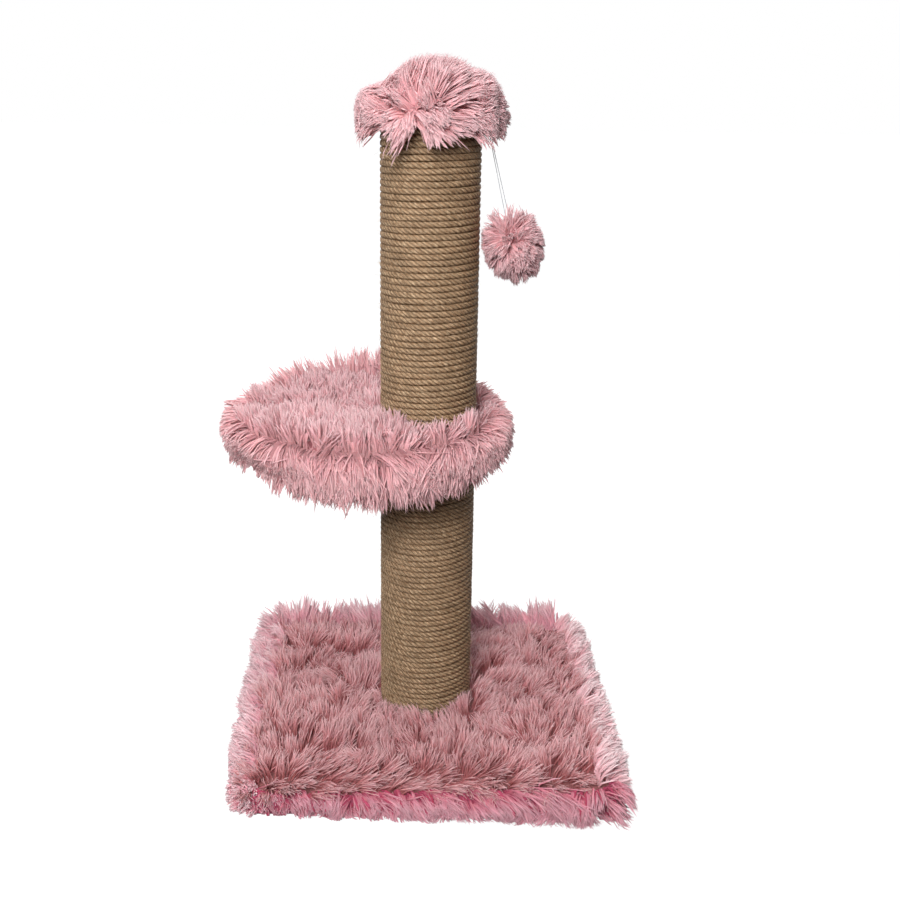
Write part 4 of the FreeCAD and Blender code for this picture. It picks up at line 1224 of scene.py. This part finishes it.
def band_place(distance):
    """Point and outward direction on the base's rounded edge, measured from the front left corner."""
    side, rest = np.divmod(distance, BAND_SPAN)
    onto = np.clip(rest, 0, BAND_STRAIGHT)
    swing = np.clip(rest - BAND_STRAIGHT, 0, BAND_BEND) / BAND_CORNER
    heading = side * (math.pi / 2)
    x = onto - BAND_STRAIGHT / 2 + BAND_CORNER * np.sin(swing)
    y = BAND_CORNER - BAND_HALF - BAND_CORNER * np.cos(swing)
    across = x * np.cos(heading) - y * np.sin(heading)
    deep = x * np.sin(heading) + y * np.cos(heading)
    return np.stack([across, deep], -1), flat_flow(heading + swing - math.pi / 2)


def in_band(points):
    """The base's outline over its pile, with round corners."""
    x, y = points[:, 0], points[:, 1]
    front = y < 0
    corner = np.where((x > 0) & front, CORNER_FRONT_RIGHT, CORNER_BEHIND)
    corner = np.where((x < 0) & front, CORNER_FRONT_LEFT, corner)
    lane = BAND_REACH - corner
    shift = 0.002 + 0.031 * y
    skew = 0.0035 - 0.045 * x - 0.06 * np.maximum(x - 0.02, 0)
    across = np.maximum(np.abs(x + shift) - lane, 0)
    deep = np.maximum(np.abs(y) + np.where(front, skew, 0.002) - lane, 0)
    ripple = BAND_RIPPLE * np.sin(x * 210) + BAND_RIPPLE * np.sin(y * 190 + 1)
    return np.hypot(across, deep) < corner + ripple


def band_fur(name, side, rows, finish, seed, lean=0.10, steeper=0, longer=0, waves=1.0, bend=0.5,
             gather=0.7, deep=0.6):
    """One side of the base's band: wavy clumps lying outward, leaning along the edge."""
    rng = np.random.default_rng(seed)
    columns = int(BAND_SPAN / BAND_STEP)
    parts = []
    for order, (reach, height, length, first_rise, last_rise) in enumerate(rows):
        spot = (np.arange(columns) + 0.5 * (order % 2) + rng.uniform(-0.4, 0.4, columns)) * BAND_STEP
        place, outward = band_place(side * BAND_SPAN + spot)
        along = np.stack([-outward[:, 1], outward[:, 0], outward[:, 2]], -1)
        root = np.concatenate([place, np.zeros((columns, 1))], axis=1) + outward * reach
        root[:, 2] = height
        wave = waves * smooth_noise(rng, spot, 0 * spot, BAND_HILLS)
        sway = 0.5 * smooth_noise(rng, spot, 0 * spot, BAND_SWAYS) + rng.normal(0, 0.25, columns)
        sway = lean + waves * sway
        tilt = steeper * place[:, 0]
        climb = np.radians(first_rise + tilt / 2) + 0.2 * wave + rng.normal(0, 0.15, columns)
        drop = np.radians(last_rise + tilt) + 0.25 * wave + rng.normal(0, 0.18, columns)
        reaching = length * (1 + longer * place[:, 0])
        parts.append({
            "root": root, "normal": outward,
            "start": climbing(outward, along, climb, sway),
            "finish": climbing(outward, along, drop, sway * 1.3),
            "length": reaching + rng.uniform(-EDGE_PLAY, EDGE_PLAY, columns) + 0.002 * wave,
            "tint": BAND_TINT + 8 * wave + rng.normal(0, 6, columns),
        })
    return pile_piece(name, rng, gathered(parts), finish, LONG_KNOTS, strands=20, spread=0.0050, width=0.0014,
                      inside=in_band, gather=gather, stray=0.03, bend=bend, deep=deep)


# Loose fibres of the rope
FIBRES = 900
FIBRE_ROOT = 0.0024
FIBRE_LENGTHS = (0.003, 0.010)
FIBRE_WIDTHS = (0.00012, 0.00022)


def rope_fibres(name, foot, seed, finish):
    """Stray fibres standing off the wound rope."""
    rng = np.random.default_rng(seed)
    turns = rng.uniform(0.1, 2 * ROPE_TURNS - 0.1, FIBRES)
    centre, outward, upward = rope_places(foot, 0, turns)
    tip_up = rng.uniform(-0.8, 0.8, FIBRES)
    root = centre + outward * (FIBRE_ROOT * np.cos(tip_up))[:, None]
    root = root + upward * (FIBRE_ROOT * np.sin(tip_up))[:, None]
    heading = np.cross(upward, outward) * rng.choice([-1.0, 1.0], FIBRES)[:, None]
    heading = heading + outward * rng.uniform(0.1, 0.9, FIBRES)[:, None]
    heading = unit(heading + upward * rng.normal(0, 0.5, FIBRES)[:, None])
    length = rng.uniform(*FIBRE_LENGTHS, FIBRES)[:, None]
    bend = rng.normal(0, 0.25, (FIBRES, 3)) * length
    t = SHORT_KNOTS[None, :, None]
    curves = root[:, None] + heading[:, None] * t * length[:, None] + bend[:, None] * t ** 2
    keep_clear(curves)
    width = rng.uniform(*FIBRE_WIDTHS, FIBRES)
    tint = np.round(rng.uniform(0, TINTS - 1, FIBRES))
    return strand_piece(name, curves, SHORT_KNOTS, width, tint, np.ones(FIBRES), finish)


# Toy line
LINE_DIAMETER = 0.0007
LINE_START = 0.0051
LINE_END = 0.08275
LINE_SPREAD = (0.00045, 0.0016)
LINE_EASE = 0.0042


def line_strand(name, side, finish):
    """One strand of the doubled line, from the knot to the ball's neck."""
    data = bpy.data.curves.new(name, "CURVE")
    data.dimensions = "3D"
    spline = data.splines.new("NURBS")
    stations = (LINE_START, LINE_START + LINE_EASE, LINE_END - LINE_EASE, LINE_END)
    spline.points.add(len(stations) - 1)
    for point, station in zip(spline.points, stations):
        share = (station - LINE_START) / (LINE_END - LINE_START)
        gap = LINE_SPREAD[0] + (LINE_SPREAD[1] - LINE_SPREAD[0]) * share
        place = TOY_PIVOT + TOY_AXIS * station + TOY_SIDE * gap * side
        point.co = (*place, 1)
    spline.order_u = 3
    spline.use_endpoint_u = True
    data.bevel_depth = LINE_DIAMETER / 2
    data.bevel_resolution = 3
    data.use_fill_caps = True
    data.materials.append(finish)
    piece = bpy.data.objects.new(name, data)
    bpy.context.collection.objects.link(piece)
    mount(piece, "toy_line")
    return piece


# Cloth and stuffing of the ball
BALL_LUMPS = 0.05
BALL_PLEATS = 9
PLEAT_DEPTH = 0.05
NECK_POWER = 6


def ball_shell(name, radius, neck, wall, seed, finish):
    """A stuffed ball drawn up to a puckered neck along the line, solid or with a cloth's wall."""
    deselect()
    bpy.ops.mesh.primitive_uv_sphere_add(segments=32, ring_count=20, radius=radius, location=(0, 0, 0))
    bpy.ops.object.mode_set(mode="EDIT")
    bpy.ops.mesh.select_all(action="SELECT")
    bpy.ops.transform.vertex_random(offset=radius * BALL_LUMPS, seed=seed)
    bpy.ops.object.mode_set(mode="OBJECT")
    piece = bpy.context.object
    up = Vector(-TOY_AXIS)
    turn = Vector((0, 0, 1)).rotation_difference(up)
    for vertex in piece.data.vertices:
        place = vertex.co.copy()
        above = max(0.0, place.z / radius)
        pucker = 1 + PLEAT_DEPTH * math.sin(BALL_PLEATS * math.atan2(place.y, place.x)) * above
        place.x *= pucker
        place.y *= pucker
        place.z += neck * above ** NECK_POWER
        vertex.co = turn @ place + Vector(BALL_CENTRE)
    piece.name = name
    piece.data.name = name
    if wall:
        cloth = piece.modifiers.new("wall", "SOLIDIFY")
        cloth.thickness = wall
        bpy.ops.object.modifier_apply(modifier="wall")
    bpy.ops.object.shade_smooth()
    piece.data.materials.append(finish)
    deselect()
    return piece


# Stage
FLOOR_GLOW = 0.95
ROOM_LIGHT = 0.10
# Name, place, aim, size and power of each lamp
LAMPS = (
    ("key_lamp", (-0.29, -1.39, 1.17), (0, 0, 0.33), 0.6, 37.5),
    ("back_lamp", (0.0, 1.5, 0.95), (0, 0, 0.3), 1.0, 16),
    ("top_lamp", (-0.2, -0.3, 2.3), (0, 0, 0.3), 1.6, 17),
)


def seen_plainly(tree):
    """1 for rays that show the backdrop itself: from the camera, mirrored or through something clear."""
    seen = add_node(tree, "ShaderNodeLightPath").outputs
    direct = combine(tree, "MAXIMUM", seen["Is Camera Ray"], seen["Is Glossy Ray"])
    return combine(tree, "MAXIMUM", direct, seen["Is Transmission Ray"])


def make_floor():
    """A white floor that keeps the object's soft shadow."""
    deselect()
    bpy.ops.mesh.primitive_plane_add(size=30)
    floor = bpy.context.object
    floor.name = "floor"
    made, tree, shader = new_finish("floor_paper")
    grain = stretched_noise(tree, object_place(tree), (1, 1, 1), 3.0)
    set_inputs(tree, shader, {
        "Base Color": ramp(tree, grain, [(0, (98, 98, 98)), (1, (102, 102, 102))]), "Roughness": 0.9,
        "Emission Color": (1, 1, 1, 1),
        "Emission Strength": combine(tree, "MULTIPLY", seen_plainly(tree), FLOOR_GLOW),
    })
    floor.data.materials.append(made)
    deselect()


def make_world():
    """Even room light, and a white background for the camera."""
    world = bpy.data.worlds.new("studio")
    world.use_nodes = True
    tree = world.node_tree
    strength = remap(tree, seen_plainly(tree), ROOM_LIGHT, 1.0)
    set_inputs(tree, tree.nodes["Background"], {"Color": (1, 1, 1, 1), "Strength": strength})
    bpy.context.scene.world = world


def soft_lamp(name, place, aim, size, power):
    """A large square studio lamp."""
    data = bpy.data.lights.new(name, "AREA")
    data.shape = "SQUARE"
    data.size = size
    data.energy = power
    lamp = bpy.data.objects.new(name, data)
    lamp.location = place
    lamp.rotation_euler = (Vector(aim) - Vector(place)).to_track_quat("-Z", "Y").to_euler()
    bpy.context.collection.objects.link(lamp)


make_camera()
make_floor()
make_world()
for lamp in LAMPS:
    soft_lamp(*lamp)
bpy.context.scene.view_settings.view_transform = "Standard"


# Toy line
line = line_finish()
strand_left = line_strand("line_strand_left", -1, line)
line_strand("line_strand_right", 1, line)
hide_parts("toy_line")

# Rope
jute = jute_finish()
loose_jute = fibre_finish()
for post, foot, seed in (("lower", LOWER_FOOT, 74), ("upper", UPPER_FOOT, 382)):
    for order in (0, 1):
        winding = rope_piece(f"{post}_winding_{order + 1}", foot, order, jute)
        mount(winding, BODY, f"{post}_rope_{order + 1}")
    mount(rope_fibres(f"{post}_rope_fibres", foot, seed, loose_jute), BODY)

# Colours of each pile at root, middle and tip, and how far up the root's colour goes; the darker roots are
# partly the pile's own colour and partly painted shade deep in the pile
PILE_COLOURS = {
    "pink_pile": ((212, 154, 158), (218, 166, 170), (224, 182, 186), 0.3),
    # The shelf's pile is a darker copy of the pink pile: painted shade
    "shelf_pile": ((184, 134, 137), (205, 152, 156), (219, 181, 185), 0.3),
    "rim_pile": ((164, 116, 119), (206, 151, 155), (219, 172, 175), 0.14),
    "front_pile": ((168, 72, 96), (196, 120, 135), (214, 161, 172), 0.15),
    "side_pile": ((222, 156, 168), (225, 174, 182), (233, 198, 203), 0.3),
    # The right band's pile is a paler copy of the side pile: painted light
    "right_painted_light_pile": ((231, 176, 184), (234, 193, 198), (241, 214, 217), 0.3),
    "dusky_pile": ((156, 90, 92), (203, 140, 143), (227, 181, 184), 0.3),
}
piles = {name: fur_finish(name, *colours) for name, colours in PILE_COLOURS.items()}
pink_back = cloth_back_finish("pink_cloth_back", (186, 112, 118), (126, 64, 70))
band_back = cloth_back_finish("band_cloth_back", (180, 88, 112), (120, 44, 68))
dusky_back = cloth_back_finish("dusky_cloth_back", (150, 92, 92), (96, 54, 54))

# Covers and their pile
cap_cloth = round_cloth("cap_cloth", CAP_PROFILE, (0, 0), True, 3, pink_back)
dress(cap_cloth, "cap_cover", BODY,
      pile=[cap_fur(piles["pink_pile"])])

shelf_top_cloth = round_cloth("shelf_top_cloth", SHELF_TOP_PROFILE, SHELF_CENTRE, True, 5, pink_back)
dress(shelf_top_cloth, "shelf_top_cover", BODY,
      pile=[shelf_top_fur(piles["shelf_pile"])])

shelf_rim_cloth = round_cloth("shelf_rim_cloth", SHELF_RIM_PROFILE, SHELF_CENTRE, False, 7, pink_back)
half_rim = RIM_COLUMNS // 2
rim_pile = [
    rim_fur("shelf_rim_pile_back", 0, half_rim, 41, piles["rim_pile"]),
    rim_fur("shelf_rim_pile_front", half_rim, RIM_COLUMNS, 43, piles["rim_pile"]),
]
dress(shelf_rim_cloth, "shelf_side_cover", BODY,
      pile=rim_pile)

base_top_cloth = square_sheet("base_top_cloth", half=0.1735, corner=0.020, height=BASE_CLOTH, seed=9,
                              finish=dusky_back)
dress(base_top_cloth, "base_top_cover", BODY, pile=[
    panel_fur("base_panel_pile_left", -1, 61, piles["dusky_pile"]),
    panel_fur("base_panel_pile_right", 1, 67, piles["dusky_pile"]),
])

base_band_cloth = square_band("base_band_cloth", BASE_BAND_PROFILE, corner=0.017, seed=13, finish=band_back)
dress(base_band_cloth, "base_side_cover", BODY, pile=[
    band_fur("base_band_pile_front", 0, FRONT_ROWS, piles["front_pile"], seed=71, lean=0.35, steeper=140,
             longer=2.1, bend=0.36, gather=0.55, deep=0.2),
    band_fur("base_band_pile_right", 1, BAND_ROWS, piles["right_painted_light_pile"], seed=73, gather=0.8, deep=0.9),
    band_fur("base_band_pile_back", 2, BACK_ROWS, piles["side_pile"], seed=79, waves=0.6, gather=0.55),
    band_fur("base_band_pile_left", 3, BAND_ROWS, piles["side_pile"], seed=83, lean=-0.10),
])

# Linings
lining = lining_finish()
base_lining = square_sheet("base_lining_cloth", half=0.1445, corner=0.019, height=0.0008, seed=17,
                           finish=lining)
dress(base_lining, "base_lining", BODY)
shelf_lining = round_cloth("shelf_lining_cloth", SHELF_LINING_PROFILE, SHELF_CENTRE, True, 19, lining)
dress(shelf_lining, "shelf_lining", BODY)

# Ball
ball_cloth = ball_shell("ball_cloth", radius=CORE_RADIUS + 0.0008, neck=0.003, wall=0.0007, seed=29,
                        finish=pink_back)
dress(ball_cloth, "ball_fur", "ball",
      pile=[ball_fur(piles["pink_pile"])])
white_filling = grained_finish("fibre_filling", ((1, 1, 1), 320.0, 7.0),
                               [(0.3, (196, 190, 186)), (0.7, (236, 233, 229))], 0.9, (0.6, 0.001))
ball_stuffing = ball_shell("ball_stuffing", radius=CORE_RADIUS - 0.001, neck=0.001, wall=0, seed=31,
                           finish=white_filling)
mount(ball_stuffing, "ball", "ball_core")

# CAD pieces that stay, with better finishes
tube_card = grained_finish("cardboard", ((1, 1, 0.4), 380.0, 7.0),
                           [(0.25, (124, 98, 70)), (0.75, (178, 150, 114))], 0.85, (0.2, 0.0003))
pink_thread = grained_finish("tie_thread", ((1, 1, 5), 900.0, 4.0),
                             [(0.3, (150, 92, 98)), (0.7, (206, 150, 156))], 0.7, (0.4, 0.0002))
HARD = (
    (board_finish(), ("base_board", "shelf_board", "cap_disc")),
    (plug_finish(), ("lower_bottom_plug", "lower_top_plug", "upper_bottom_plug", "upper_top_plug")),
    (tube_card, ("lower_tube", "upper_tube")),
    (steel_finish(), ("base_staples", "base_bolt", "base_washer", "lower_bottom_tee_nut", "lower_top_tee_nut",
                      "upper_bottom_tee_nut", "upper_top_tee_nut", "lower_plug_nails", "upper_plug_nails",
                      "shelf_staples", "joining_stud", "cap_bolt", "cap_staples", "toy_staple")),
    (line, ("toy_loop", "toy_knot")),
    (pink_thread, ("ball_tie",)),
)
for finish, names in HARD:
    for name in names:
        held = nodes[name].data.materials
        if len(held) == 0:
            held.append(finish)
        for index in range(len(held)):
            held[index] = finish
